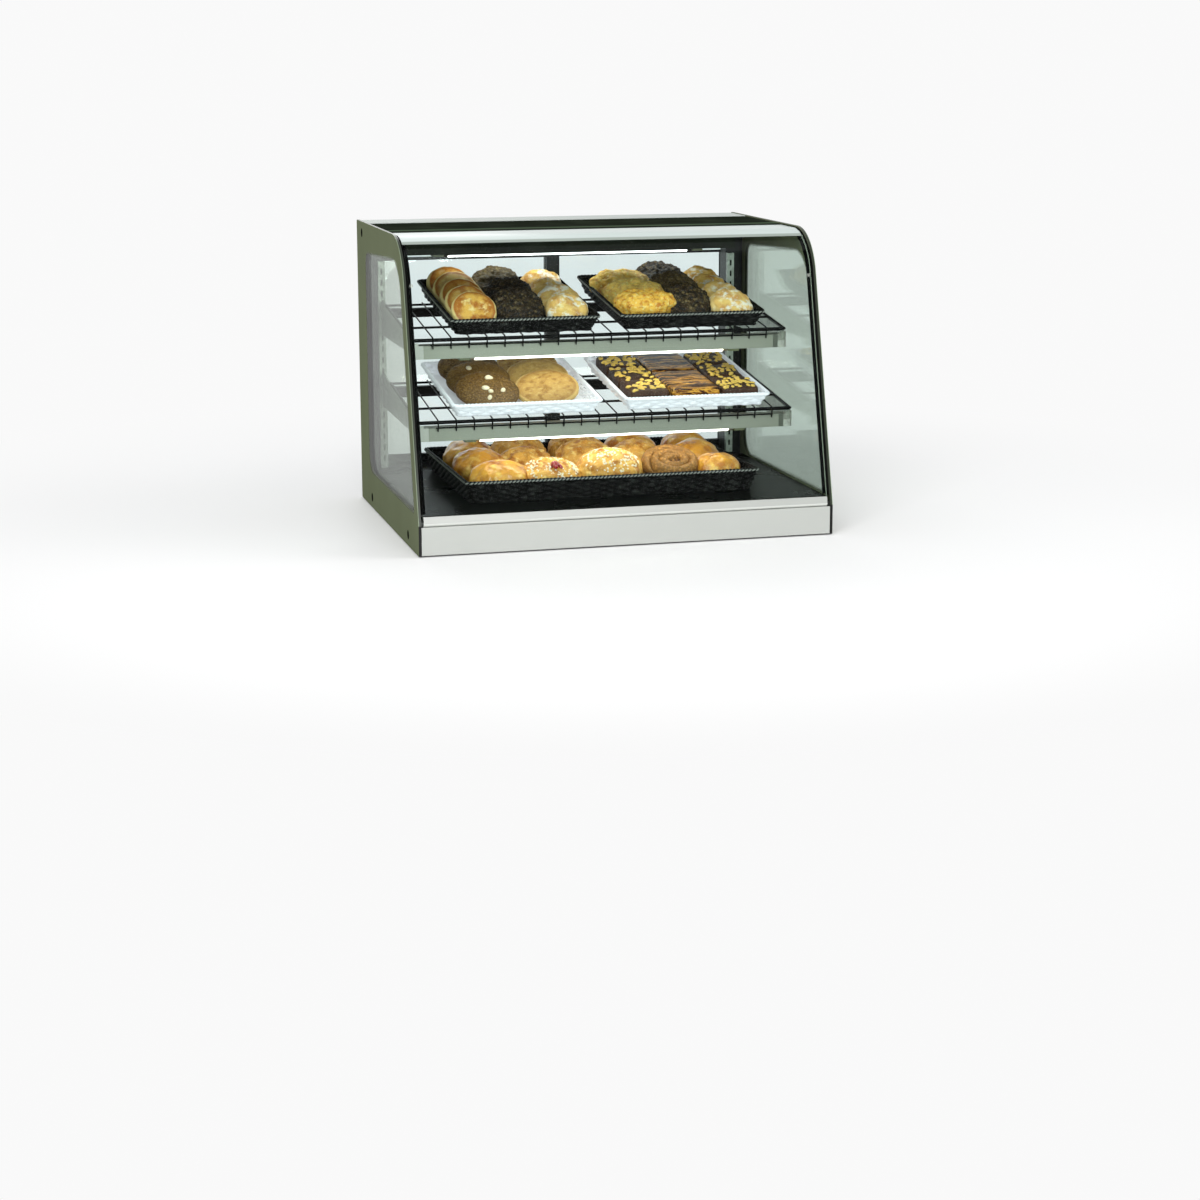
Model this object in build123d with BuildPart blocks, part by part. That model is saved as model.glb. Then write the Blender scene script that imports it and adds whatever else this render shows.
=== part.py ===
from build123d import *
import math
import os

# A curved-glass countertop bakery display case: two glass side panes, a bent front
# glass that tilts forward on pivots, two tilted wire racks on slotted standards,
# three light rails, and two sliding rear doors. All lengths are millimetres.
# +X is to the right, the customer's side faces -Y, +Z is up.
# The origin is the middle of the footprint, on the counter.

os.makedirs("parts", exist_ok=True)

# ---- driving dimensions of the case ----
case_width = 914.4
case_depth = 711.2
case_height = 652.8
side_pane_thickness = 6.0
side_pane_foot = 1.5          # height of the side panes' lower edge above the counter
nose_height = 66.0            # upright part of the front, below the leaning glass
glass_lean = 14.6             # degrees from vertical
bend_radius = 124.0           # outer radius where the front turns into the top

# ---- clearances ----
seat_gap = 0.3                # between pieces that are fitted side by side
slide_gap = 1.0               # each side of a door in its track
cut_over = 10.0               # how far a cutting shape runs past the face it opens
hinge_play = 0.05             # radial play of the front glass pivots

# ---- front glass and its bottom rail ----
glass_thickness = 6.0
rail_wall = 2.0
glazing_strip = 1.0
strip_above_rail = 1.0
rail_gap = 0.5                # between the fascia and the rail's round underside
rail_face_inset = 0.8         # rail face behind the side panes' front edge
seal_width = 4.2              # black seal between glass edge and side pane
seal_lip_width = 12.0
seal_lip_thickness = 2.0
seal_above_rail = 4.0
glass_top_depth = 330.0       # where the top edge of the bent glass ends
rail_top_height = 84.0
rail_glass_grip = 7.5         # how far the glass goes down into the rail
pivot_radius = 2.5
pivot_bearing = 4.0           # thickness of the pivot bracket
barrel_radius = 6.5           # round underside of the rail, about the pivot
bracket_radius = 6.4
pin_in_rail = 8.0
bumper_radius = 4.0
bumper_height = 2.4
bumper_margin = 6.0

# ---- base ----
pad_height = 3.0
pad_radius = 12.0
pad_margin = 45.0
sheet = 1.5                   # folded sheet metal
fascia_height = 62.5
ledge_height = 61.0
ledge_depth = 26.0
base_height = 78.0
deck_thickness = 3.5
support_width = 40.0
support_behind_front = 240.0
support_before_ballast = 36.0
support_end_gap = 30.0
rear_setback = 5.2            # rear wall of the base inside the side panes
screw_radius = 3.0
screw_head_radius = 6.5
screw_length = 16.0
screw_height = 25.0           # of the lower screws
screw_behind_front = 122.0
screw_before_rear = 141.2
screw_below_top = 25.8

# ---- rear corner posts and slotted standards ----
post_depth = 44.0
post_before_track = 2.0
post_width = 39.7
post_wall = 2.0
standard_width = 16.0
standard_depth = 12.0
standard_wall = 1.5
slot_width = 4.6
slot_length = 14.0
slot_pitch = 25.4
slot_margin = 20.0

# ---- top ----
trim_depth = 30.0             # metal nosing that carries the top edge of the glass
trim_height = 12.0
trim_tongue = 24.0            # length of glass kept clear of the seal lip
trim_tongue_reach = 17.0
tongue_thickness = 3.0
top_sheet_drop = 2.8          # black top sheet below the highest point
cover_depth = 112.0           # pale cover, from the rear edge of the side panes
cover_lip = 14.0
cover_below_panes = 1.4

# ---- rear doors ----
track_pitch = 18.0
door_thickness = 12.0
track_wall = 2.0
sill_height = 12.0
header_drop = 85.8            # header's lower edge below the highest point
header_groove = 22.0
door_stile = 31.0
door_rail_height = 24.0
door_pane_thickness = 5.0
door_travel = 430.0
pull_length = 80.0
pull_width = 18.0
pull_flange = 1.0
pull_recess = 7.0
pull_border = 6.0
pull_wall = 1.5
door_lift = 0.4               # bottom of the door above the floor of its track
pane_bite = 6.0               # how far the pane goes into the door frame

# ---- shelves ----
shelf_tilt = 7.5
rack_side_gap = 27.5          # between a rack and the side pane
rack_length = 320.0
upper_wire_reach = 482.2      # front wire before the rear edge of the side panes
upper_wire_drop = 225.8       # front wire below the highest point
lower_wire_reach = 527.2
shelf_spacing = 172.0
frame_wire = 2.6              # radius of the cross wires
front_wire = 4.0              # radius of the front cross wire
side_wire = 3.0               # radius of the wires along the two sides
thin_wire = 1.6               # radius of the front-to-back wires
thin_wire_pitch = 39.7
cross_wires = 3
hook_drop = 20.0              # front edge turned down over the light rail
hook_bend = 6.0
low_front_wire_drop = 13.0
weld = 0.3                    # how far crossing wires sink into each other
arm_thickness = 4.0
arm_rear_height = 78.0
arm_front_height = 24.0
arm_foot_length = 40.0
arm_nose_length = 30.0
arm_behind_rail = 3.0
hook_below_arm = 12.0
hook_height = 9.0
hook_reach = 6.0
rear_bar_size = 20.0
rear_bar_wall = 2.0

# ---- light rails ----
rail_end_inset = 54.9         # from the rail's end to the side pane
rail_height = 29.0
rail_depth = 38.0
rail_lip = 13.0
rack_above_rail = 14.0
rack_before_rail = 4.0
lamp_radius = 13.0
lamp_length = 586.0
lamp_drop = 7.0               # lamp showing below the rail
lampholder_length = 24.0
end_block_length = 11.0
end_cap_length = 19.0
end_cap_wall = 2.0
canopy_rail_reach = 203.2     # front of the top rail before the case's rear
canopy_rail_drop = 68.8
hanger_width = 30.0
hanger_offset = 340.0
hanger_foot = 30.0

# ---- baskets: rim width, rim length, height ----
small_basket = (336.0, 400.0, 36.0)
tray_basket = (338.0, 372.0, 30.0)
deck_basket_size = (663.0, 478.0, 50.0)
basket_wall = 4.0
basket_flare = 15.0           # how far the rim stands outside the bottom, each side
basket_corner = 14.0          # at the rim
basket_foot_corner = 9.0
upper_basket_places = (-170.5, 208.5)
lower_basket_places = (-178.0, 206.0)
basket_front_gap = 3.0        # rim in front of the rack's front wire
deck_basket_x = 0.0
deck_basket_front = 120.0

# ---- bread ----
roll = (45.0, 27.0, 9.0)      # radius, thickness, rounding of the edge
roll_pitch = 54.0
dark_round = (57.0, 26.0, 9.0)
dark_pitch = 68.0
roll_count = 5                # in a column
dark_count = 4
roll_slope = 35.0             # degrees the rolls lean back from the basket's floor
cookie = (70.0, 17.0, 6.0)
cookie_pitch = 92.0
cookie_count = 3
cookie_slope = 17.0
bread_off_basket = 6.0        # first bread behind the basket's front wall
bun = (58.0, 50.0)
bun_rounding = 20.0
bun_gap = (6.0, 20.0)         # side by side, and front to rear
bar_cake = (94.0, 104.0, 30.0)
bread_gap = 2.0

# ---- rear wall fittings ----
ballast = (300.0, 60.0, 40.0)
ballast_beside_switch = 60.0
ballast_before_rear = 100.0
ballast_rounding = 3.0
cable_radius = 3.0
cable_bend = 25.0
cable_drop = 52.8             # upper end of the cable below the highest point
switch_from_side = 70.9
switch_height = 42.0
switch_size = (13.0, 19.0)
bezel_size = (21.0, 27.0)
bezel_thickness = 1.6
rocker_pin_radius = 1.2
rocker_pin_reach = 1.2
inlet_from_side = 70.9
inlet_height = 36.0
inlet_radius = 9.0
inlet_collar = 13.0
inlet_opening = 5.0
inlet_flange = 3.0
inlet_body = 8.0

# ---- values worked out from the driving dimensions ----
lean = math.radians(glass_lean)
tilt = math.radians(shelf_tilt)
inner_half = case_width / 2 - side_pane_thickness
fit_half = inner_half - seat_gap
corner_depth = (case_height - nose_height) * math.tan(lean)
bend_depth = corner_depth + bend_radius * math.tan((math.pi / 2 - lean) / 2)
bend_height = case_height - bend_radius
deck_top = base_height + deck_thickness
glass_inset = rail_face_inset + rail_wall + glazing_strip
top_underside = case_height - top_sheet_drop - sheet
base_rear = case_depth - rear_setback
track_front = base_rear - 2 * track_pitch - track_wall
post_front = track_front - post_before_track - post_depth
post_middle_depth = post_front + post_depth / 2
header_bottom = case_height - header_drop
cover_front = case_depth - cover_depth
upper_wire_depth = case_depth - upper_wire_reach
upper_wire_height = case_height - upper_wire_drop
lower_wire_depth = case_depth - lower_wire_reach
lower_wire_height = upper_wire_height - shelf_spacing
rack_width = 2 * (fit_half - rack_side_gap)
rail_length = 2 * (fit_half - rail_end_inset)
switch_x = fit_half - switch_from_side
inlet_x = inlet_from_side - fit_half
ballast_rear = base_rear - ballast_before_rear
ballast_front = ballast_rear - ballast[1]
screw_places = (                       # depth, height
    (screw_behind_front, screw_height),
    (case_depth - screw_before_rear, screw_height),
    (post_middle_depth, case_height - screw_below_top))


def back(depth):
    """The Y of a point this far behind the front of the base."""
    return depth - case_depth / 2


def lean_depth(height, inset=0.0):
    """Depth of the leaning front line, moved inward by inset, at a height."""
    return (inset + (height - nose_height) * math.sin(lean)) / math.cos(lean)


def bend_points(inset):
    """Start, middle and end of the bend for a line moved inward by inset."""
    radius = bend_radius - inset
    points = []
    for angle in (math.pi - lean, (math.pi - lean + math.pi / 2) / 2, math.pi / 2):
        depth = bend_depth + radius * math.cos(angle)
        height = bend_height + radius * math.sin(angle)
        points.append((back(depth), height))
    return points


def bent_sheet_section(x, outer, inner, foot, end_depth):
    """Section of a sheet that follows the leaning front and the bend."""
    start_out, middle_out, end_out = bend_points(outer)
    start_in, middle_in, end_in = bend_points(inner)
    foot_out = (back(lean_depth(foot, outer)), foot)
    slant = (inner - outer) * math.sin(lean)
    foot_in = (back(lean_depth(foot - slant, inner)), foot - slant)
    tip_out = (back(end_depth), case_height - outer)
    tip_in = (back(end_depth), case_height - inner)
    with BuildSketch(Plane.YZ.offset(x)) as section:
        with BuildLine():
            Line(foot_out, start_out)
            ThreePointArc(start_out, middle_out, end_out)
            Line(end_out, tip_out)
            Line(tip_out, tip_in)
            Line(tip_in, end_in)
            ThreePointArc(end_in, middle_in, start_in)
            Line(start_in, foot_in)
            Line(foot_in, foot_out)
        make_face()
    return section.sketch


def polygon_section(plane, points):
    """A closed straight-sided section on a plane."""
    with BuildSketch(plane) as section:
        with BuildLine():
            Polyline(*points, close=True)
        make_face()
    return section.sketch


def block(x0, x1, depth0, depth1, z0, z1, mode=Mode.ADD):
    """A rectangular block between two corners, depths measured from the front."""
    centre = ((x0 + x1) / 2, back((depth0 + depth1) / 2), (z0 + z1) / 2)
    with Locations(centre):
        Box(abs(x1 - x0), abs(depth1 - depth0), abs(z1 - z0), mode=mode)


def keep(piece, name):
    """Label a finished piece and write it to its own file."""
    piece.part.label = name
    export_step(piece.part, f"parts/{name}.step")


def keep_pair(right_piece, name):
    """Write the right-hand piece and its mirror image on the left."""
    with BuildPart() as left_piece:
        mirror(right_piece.part, about=Plane.YZ)
    keep(right_piece, f"right_{name}")
    keep(left_piece, f"left_{name}")


def shelf_plane(wire_depth, wire_height):
    """Plane through a rack's front wire, sloping up towards the back."""
    return Plane(
        origin=(0, back(wire_depth), wire_height),
        x_dir=(1, 0, 0),
        z_dir=(0, -math.sin(tilt), math.cos(tilt)),
    )


def rack_height_at(wire_depth, wire_height, depth):
    """Height of the rack's centre plane at a depth."""
    return wire_height + (depth - wire_depth) * math.tan(tilt)


# ======================= side panes =======================
bolt_plane = Plane(origin=(case_width / 2, 0, 0), x_dir=(0, 1, 0), z_dir=(1, 0, 0))
bolt_points = [(back(depth), height) for depth, height in screw_places]

with BuildPart() as right_side_pane:
    bend_start, bend_middle, bend_end = bend_points(0.0)
    with BuildSketch(Plane.YZ.offset(inner_half)):
        with BuildLine():
            Polyline(bend_end, (back(case_depth), case_height), (back(case_depth), side_pane_foot),
                     (back(0), side_pane_foot), (back(0), nose_height), bend_start)
            ThreePointArc(bend_start, bend_middle, bend_end)
        make_face()
    extrude(amount=side_pane_thickness)
    rear_edges = right_side_pane.edges().filter_by(Axis.X).group_by(Axis.Y)[-1]
    fillet(rear_edges, radius=5.0)
    with Locations(*[bolt_plane.location * Location((y, z, 0)) for y, z in bolt_points]):
        CounterSinkHole(screw_radius + seat_gap, screw_head_radius + seat_gap, side_pane_thickness)
keep_pair(right_side_pane, "side_pane")

# Countersunk screws: their heads lie flush with the outside of the side panes.
with BuildPart() as right_screws:
    head_cone = (screw_head_radius - screw_radius) / math.tan(math.radians(41))
    for y, z in bolt_points:
        with BuildSketch(bolt_plane.offset(-head_cone)):
            with Locations((y, z)):
                Circle(screw_radius)
        with BuildSketch(bolt_plane.offset(-seat_gap / 2)):
            with Locations((y, z)):
                Circle(screw_head_radius)
        loft()
        with Locations(bolt_plane.location * Location((y, z, -head_cone - screw_length / 2))):
            Cylinder(screw_radius, screw_length)
with BuildPart() as side_pane_screws:
    add(right_screws.part)
    mirror(right_screws.part, about=Plane.YZ)
keep(side_pane_screws, "side_pane_screws")

# ======================= base =======================
with BuildPart() as base_pan:
    shell = [(back(sheet + 0.5), pad_height), (back(sheet + 0.5), ledge_height),
             (back(ledge_depth), ledge_height), (back(ledge_depth), base_height),
             (back(base_rear), base_height), (back(base_rear), pad_height)]
    extrude(polygon_section(Plane.YZ.offset(-fit_half), shell), amount=2 * fit_half)
    hollow = [(back(2 * sheet + 0.5), pad_height + sheet),
              (back(2 * sheet + 0.5), ledge_height - sheet),
              (back(ledge_depth + sheet), ledge_height - sheet),
              (back(ledge_depth + sheet), base_height + sheet),
              (back(base_rear - sheet), base_height + sheet),
              (back(base_rear - sheet), pad_height + sheet)]
    extrude(polygon_section(Plane.YZ.offset(-fit_half + sheet), hollow),
            amount=2 * (fit_half - sheet), mode=Mode.SUBTRACT)
    # screw holes in the end walls, switch and cord inlet holes in the rear wall
    for depth, height in screw_places:
        if height < base_height:
            with Locations(Location((0, back(depth), height), (0, 90, 0))):
                Cylinder(screw_radius + seat_gap, case_width, mode=Mode.SUBTRACT)
    with Locations((switch_x, back(base_rear), switch_height)):
        Box(switch_size[0] + 2, 4 * sheet, switch_size[1] + 2, mode=Mode.SUBTRACT)
    with Locations(Location((inlet_x, back(base_rear), inlet_height), (90, 0, 0))):
        Cylinder(inlet_radius + seat_gap, 4 * sheet, mode=Mode.SUBTRACT)
keep(base_pan, "base_pan")

with BuildPart() as front_fascia:
    face = [(back(0.2), pad_height), (back(0.2), fascia_height),
            (back(ledge_depth - 8), fascia_height), (back(ledge_depth - 8), fascia_height - 1.2),
            (back(1.7), fascia_height - 1.2), (back(1.7), pad_height)]
    extrude(polygon_section(Plane.YZ.offset(-fit_half), face), amount=2 * fit_half)
    top_edge = front_fascia.edges().filter_by(Axis.X).group_by(Axis.Z)[-1].sort_by(Axis.Y)[0]
    fillet(top_edge, radius=1.0)
keep(front_fascia, "front_fascia")

with BuildPart() as deck_panel:
    block(-fit_half, fit_half, ledge_depth, track_front - seat_gap, base_height, deck_top)
    for side in (-1, 1):
        block(side * (fit_half - post_width - seat_gap), side * fit_half,
              post_front - standard_depth - seat_gap, track_front, base_height, deck_top,
              mode=Mode.SUBTRACT)
    fillet(deck_panel.edges().filter_by(Axis.X).group_by(Axis.Y)[0].sort_by(Axis.Z)[-1], radius=1.5)
keep(deck_panel, "deck_panel")

with BuildPart() as deck_supports:
    support_half = fit_half - support_end_gap
    for depth in (support_behind_front, ballast_front - support_before_ballast - support_width):
        low = pad_height + sheet
        block(-support_half, support_half, depth, depth + support_width, low, base_height)
        block(-support_half, support_half, depth + sheet, depth + support_width - sheet,
              low, base_height - sheet, mode=Mode.SUBTRACT)
keep(deck_supports, "deck_supports")

with BuildPart() as rubber_pads:
    pad_x = fit_half - pad_margin
    for depth in (pad_margin, base_rear - pad_margin):
        with Locations((-pad_x, back(depth), pad_height / 2), (pad_x, back(depth), pad_height / 2)):
            Cylinder(pad_radius, pad_height)
    fillet(rubber_pads.edges().filter_by(GeomType.CIRCLE).group_by(Axis.Z)[0], radius=0.8)
keep(rubber_pads, "rubber_pads")

base_floor = pad_height + sheet
ballast_right = switch_x - ballast_beside_switch
with BuildPart() as ballast_box:
    block(ballast_right - ballast[0], ballast_right, ballast_front, ballast_rear,
          base_floor, base_floor + ballast[2])
    fillet(ballast_box.edges().filter_by(Axis.Z), radius=ballast_rounding)
keep(ballast_box, "ballast_box")

# Cable from the ballast through the base and up inside the right-hand corner post.
post_middle_x = fit_half - post_width / 2
cable_height = base_floor + ballast[2] / 2
cable_top = case_height - cable_drop
with BuildPart() as lamp_wiring:
    ballast_end = (ballast_right, back((ballast_front + ballast_rear) / 2), cable_height)
    with BuildLine():
        cable_route = FilletPolyline(
            ballast_end,
            (post_middle_x, ballast_end[1], cable_height),
            (post_middle_x, back(post_middle_depth), cable_height),
            (post_middle_x, back(post_middle_depth), cable_top), radius=cable_bend)
    with BuildSketch(Plane.YZ.offset(ballast_end[0])):
        with Locations((ballast_end[1], cable_height)):
            Circle(cable_radius)
    sweep()
keep(lamp_wiring, "lamp_wiring")

with BuildPart() as cord_inlet:
    with BuildSketch(Plane.XZ.offset(-back(base_rear))):
        with Locations((inlet_x, inlet_height)):
            Circle(inlet_collar)
    extrude(amount=-inlet_flange)
    with BuildSketch(Plane.XZ.offset(-back(base_rear))):
        with Locations((inlet_x, inlet_height)):
            Circle(inlet_radius)
    extrude(amount=inlet_body)
    with BuildSketch(Plane.XZ.offset(-back(base_rear + inlet_flange))):
        with Locations((inlet_x, inlet_height)):
            Circle(inlet_opening)
    extrude(amount=inlet_flange + inlet_body, mode=Mode.SUBTRACT)
keep(cord_inlet, "cord_inlet")

# Rocker light switch: a frame in the rear wall and a rocker on its own short pin.
rocker_y = back(base_rear) - 3.0
rocker_width = switch_size[0] - 2.6
with BuildPart() as switch_housing:
    with Locations((switch_x, back(base_rear) + bezel_thickness / 2, switch_height)):
        Box(bezel_size[0], bezel_thickness, bezel_size[1])
    with Locations((switch_x, back(base_rear) - 9.0, switch_height)):
        Box(switch_size[0] + 1.6, 18.0, switch_size[1] + 1.6)
    with Locations((switch_x, back(base_rear) - 7.0, switch_height)):
        Box(switch_size[0] - 1.4, 20.0, switch_size[1] - 1.4, mode=Mode.SUBTRACT)
    with Locations(Location((switch_x, rocker_y, switch_height), (0, 90, 0))):
        Cylinder(rocker_pin_radius + hinge_play, rocker_width + 2 * rocker_pin_reach + 0.4,
                 mode=Mode.SUBTRACT)
keep(switch_housing, "switch_housing")

with BuildPart() as switch_rocker:
    rocker_half = switch_size[1] / 2 - 2.4
    rocker_face = back(base_rear) + bezel_thickness
    rocker_outline = [(rocker_y - 4, switch_height), (rocker_y, switch_height - rocker_half),
                      (rocker_face + 1.2, switch_height - rocker_half),
                      (rocker_face - 0.4, switch_height),
                      (rocker_face + 1.2, switch_height + rocker_half),
                      (rocker_y, switch_height + rocker_half)]
    extrude(polygon_section(Plane.YZ.offset(switch_x - rocker_width / 2), rocker_outline),
            amount=rocker_width)
    with Locations(Location((switch_x, rocker_y, switch_height), (0, 90, 0))):
        Cylinder(rocker_pin_radius, rocker_width + 2 * rocker_pin_reach)
keep(switch_rocker, "light_switch_rocker")

# ======================= rear corner posts and standards =======================
post_top = top_underside - 1.0
post_inner = fit_half - post_width

with BuildPart() as corner_post:
    block(post_inner, fit_half, post_front, post_front + post_depth, base_height, post_top)
    block(post_inner + post_wall, fit_half - post_wall, post_front + post_wall,
          post_front + post_depth - post_wall, base_height, post_top, mode=Mode.SUBTRACT)
    fillet(corner_post.edges().filter_by(Axis.Z).group_by(Axis.Y)[0].sort_by(Axis.X)[0], radius=1.5)
    with Locations(Location((fit_half, back(screw_places[2][0]), screw_places[2][1]), (0, 90, 0))):
        Cylinder(screw_radius + seat_gap, 12.0, mode=Mode.SUBTRACT)
keep_pair(corner_post, "corner_post")

standard_x = post_inner + standard_width / 2
standard_bottom = deck_top + 4.0
standard_top = header_bottom - 4.0
with BuildPart() as slotted_standard:
    block(standard_x - standard_width / 2, standard_x + standard_width / 2,
          post_front - standard_depth, post_front, standard_bottom, standard_top)
    block(standard_x - standard_width / 2 + standard_wall,
          standard_x + standard_width / 2 - standard_wall,
          post_front - standard_depth + standard_wall, post_front,
          standard_bottom, standard_top, mode=Mode.SUBTRACT)
    slot_count = int((standard_top - standard_bottom - 2 * slot_margin) / slot_pitch) + 1
    with BuildSketch(Plane.XZ.offset(-back(post_front - standard_depth - 1.0))):
        with Locations((standard_x, (standard_top + standard_bottom) / 2)):
            with GridLocations(0, slot_pitch, 1, slot_count):
                SlotOverall(slot_length, slot_width, rotation=90)
    extrude(amount=-2 * standard_wall, mode=Mode.SUBTRACT)
with BuildPart() as slotted_standards:
    add(slotted_standard.part)
    mirror(slotted_standard.part, about=Plane.YZ)
keep(slotted_standards, "slotted_standards")

# ======================= top =======================
top_level = case_height - top_sheet_drop
trim_front = glass_top_depth + 1.0
with BuildPart() as top_trim:
    block(-fit_half, fit_half, trim_front, trim_front + trim_depth,
          top_level - trim_height, top_level)
    # tongue under the top edge of the glass
    tongue_half = fit_half - seal_lip_width - 1.0
    block(-tongue_half, tongue_half, trim_front - trim_tongue_reach, trim_front + 3.0,
          top_level - trim_height, top_level - trim_height + tongue_thickness)
    fillet(top_trim.edges().filter_by(Axis.X).group_by(Axis.Z)[-1].sort_by(Axis.Y)[0], radius=2.0)
keep(top_trim, "top_trim")

top_sheet_front = trim_front + trim_depth
with BuildPart() as top_panel:
    block(-fit_half, fit_half, top_sheet_front, base_rear, top_level - sheet, top_level)
    block(-fit_half, fit_half, top_sheet_front, top_sheet_front + sheet,
          top_level - trim_height, top_level)
keep(top_panel, "top_panel")

with BuildPart() as rear_top_cover:
    cover_top = case_height - cover_below_panes
    block(-fit_half, fit_half, cover_front, base_rear, top_level, cover_top)
    block(-fit_half, fit_half, base_rear, base_rear + sheet, top_level - cover_lip, cover_top)
    fillet(rear_top_cover.edges().filter_by(Axis.X).group_by(Axis.Z)[-1], radius=1.0)
keep(rear_top_cover, "rear_top_cover")

# ======================= rear door tracks =======================
track_back = track_front + 2 * track_pitch + track_wall
groove_half = door_thickness / 2 + slide_gap
groove_depths = (track_front + track_pitch / 2 + track_wall / 2,
                 track_front + 3 * track_pitch / 2 + track_wall / 2)
sill_bottom = base_height
header_top = top_underside - seat_gap

with BuildPart() as door_sill:
    block(-fit_half, fit_half, track_front, track_back, sill_bottom, sill_bottom + sill_height)
    for depth in groove_depths:
        block(-fit_half, fit_half, depth - groove_half, depth + groove_half,
              sill_bottom + track_wall, sill_bottom + sill_height, mode=Mode.SUBTRACT)
keep(door_sill, "door_sill")

with BuildPart() as door_header:
    block(-fit_half, fit_half, track_front, track_back, header_bottom, header_top)
    for depth in groove_depths:
        block(-fit_half, fit_half, depth - groove_half, depth + groove_half,
              header_bottom, header_bottom + header_groove, mode=Mode.SUBTRACT)
    block(-fit_half + 3, fit_half - 3, track_front + track_wall, track_back - track_wall,
          header_bottom + header_groove + track_wall, header_top - track_wall, mode=Mode.SUBTRACT)
keep(door_header, "door_header")

# ======================= sliding rear doors =======================
door_bottom = sill_bottom + track_wall + door_lift
door_top = header_bottom + header_groove - 6.0
door_end = fit_half - 1.0


def build_door(side, depth):
    """Frame, pane and finger pull of one door; side is -1 for left, 1 for right."""
    inner_edge = -side * door_stile / 2
    x0, x1 = sorted((inner_edge, side * door_end))
    z0, z1 = door_bottom, door_top
    pull_x = side * (door_end - door_stile / 2)
    pull_z = (z0 + z1) / 2
    rear_face = back(depth + door_thickness / 2)
    with BuildPart() as frame:
        block(x0, x1, depth - door_thickness / 2, depth + door_thickness / 2, z0, z1)
        block(x0 + door_stile, x1 - door_stile, depth - door_thickness, depth + door_thickness,
              z0 + door_rail_height, z1 - door_rail_height, mode=Mode.SUBTRACT)
        block(x0 + door_stile - pane_bite, x1 - door_stile + pane_bite,
              depth - door_pane_thickness / 2 - seat_gap,
              depth + door_pane_thickness / 2 + seat_gap,
              z0 + door_rail_height - pane_bite, z1 - door_rail_height + pane_bite,
              mode=Mode.SUBTRACT)
        with Locations((pull_x, rear_face, pull_z)):
            Box(pull_width + 2 * seat_gap, 2 * pull_recess + 2 * seat_gap,
                pull_length + 2 * seat_gap, mode=Mode.SUBTRACT)
    with BuildPart() as pane:
        edge = pane_bite - seat_gap
        block(x0 + door_stile - edge, x1 - door_stile + edge, depth - door_pane_thickness / 2,
              depth + door_pane_thickness / 2, z0 + door_rail_height - edge,
              z1 - door_rail_height + edge)
    with BuildPart() as pull:
        with Locations((pull_x, rear_face - pull_recess / 2, pull_z)):
            Box(pull_width, pull_recess, pull_length)
        with Locations((pull_x, rear_face + pull_flange / 2, pull_z)):
            Box(pull_width + pull_border, pull_flange, pull_length + pull_border)
        with Locations((pull_x, rear_face, pull_z)):
            Box(pull_width - 2 * pull_wall, 2 * (pull_recess - pull_wall),
                pull_length - 2 * pull_wall, mode=Mode.SUBTRACT)
    return frame, pane, pull


for side_name, side, depth in (("left", -1, groove_depths[0]), ("right", 1, groove_depths[1])):
    door_frame, door_pane, door_pull = build_door(side, depth)
    keep(door_frame, f"{side_name}_door_frame")
    keep(door_pane, f"{side_name}_door_pane")
    keep(door_pull, f"{side_name}_door_pull")

# ======================= tilting front glass =======================
pivot_height = fascia_height + rail_gap + barrel_radius
pivot_depth = lean_depth(pivot_height, rail_face_inset + barrel_radius)
rail_half = inner_half - pivot_bearing - 2 * seat_gap - slide_gap
glass_half = inner_half - seal_width - 2 * seat_gap
glass_foot = rail_top_height - rail_glass_grip
rail_inner_inset = glass_inset + glass_thickness + glazing_strip + rail_wall
glass_end_height = glass_foot + glazing_strip

with BuildPart() as front_glass:
    extrude(bent_sheet_section(-glass_half, glass_inset, glass_inset + glass_thickness,
                               glass_end_height, glass_top_depth), amount=2 * glass_half)
keep(front_glass, "front_glass")


def lean_quad(inset_out, inset_in, low, high):
    """Corners of a strip between two inset lines, cut square to the lean."""
    slant_out = inset_out * math.sin(lean)
    slant_in = inset_in * math.sin(lean)
    return [(back(lean_depth(low - slant_out, inset_out)), low - slant_out),
            (back(lean_depth(high - slant_out, inset_out)), high - slant_out),
            (back(lean_depth(high - slant_in, inset_in)), high - slant_in),
            (back(lean_depth(low - slant_in, inset_in)), low - slant_in)]


strip_outer = glass_inset - glazing_strip
strip_inner = glass_inset + glass_thickness + glazing_strip
glass_foot_edge = glass_end_height + glass_inset * math.sin(lean)
rail_top_edge = rail_top_height + rail_face_inset * math.sin(lean)

with BuildPart() as front_glass_rail:
    rail_section = lean_quad(rail_face_inset, rail_inner_inset, pivot_height, rail_top_edge)
    extrude(polygon_section(Plane.YZ.offset(-rail_half), rail_section), amount=2 * rail_half)
    with BuildSketch(Plane.YZ.offset(-rail_half)):
        with Locations((back(pivot_depth), pivot_height)):
            Circle(barrel_radius)
    extrude(amount=2 * rail_half)
    strip_seat = lean_quad(strip_outer, strip_inner, glass_foot_edge - glazing_strip,
                           rail_top_edge + cut_over)
    extrude(polygon_section(Plane.YZ.offset(-rail_half), strip_seat), amount=2 * rail_half,
            mode=Mode.SUBTRACT)
    for side in (-1, 1):
        with Locations(Location((side * rail_half, back(pivot_depth), pivot_height), (0, 90, 0))):
            Cylinder(pivot_radius, 2 * pin_in_rail, mode=Mode.SUBTRACT)
keep(front_glass_rail, "front_glass_rail")

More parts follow.
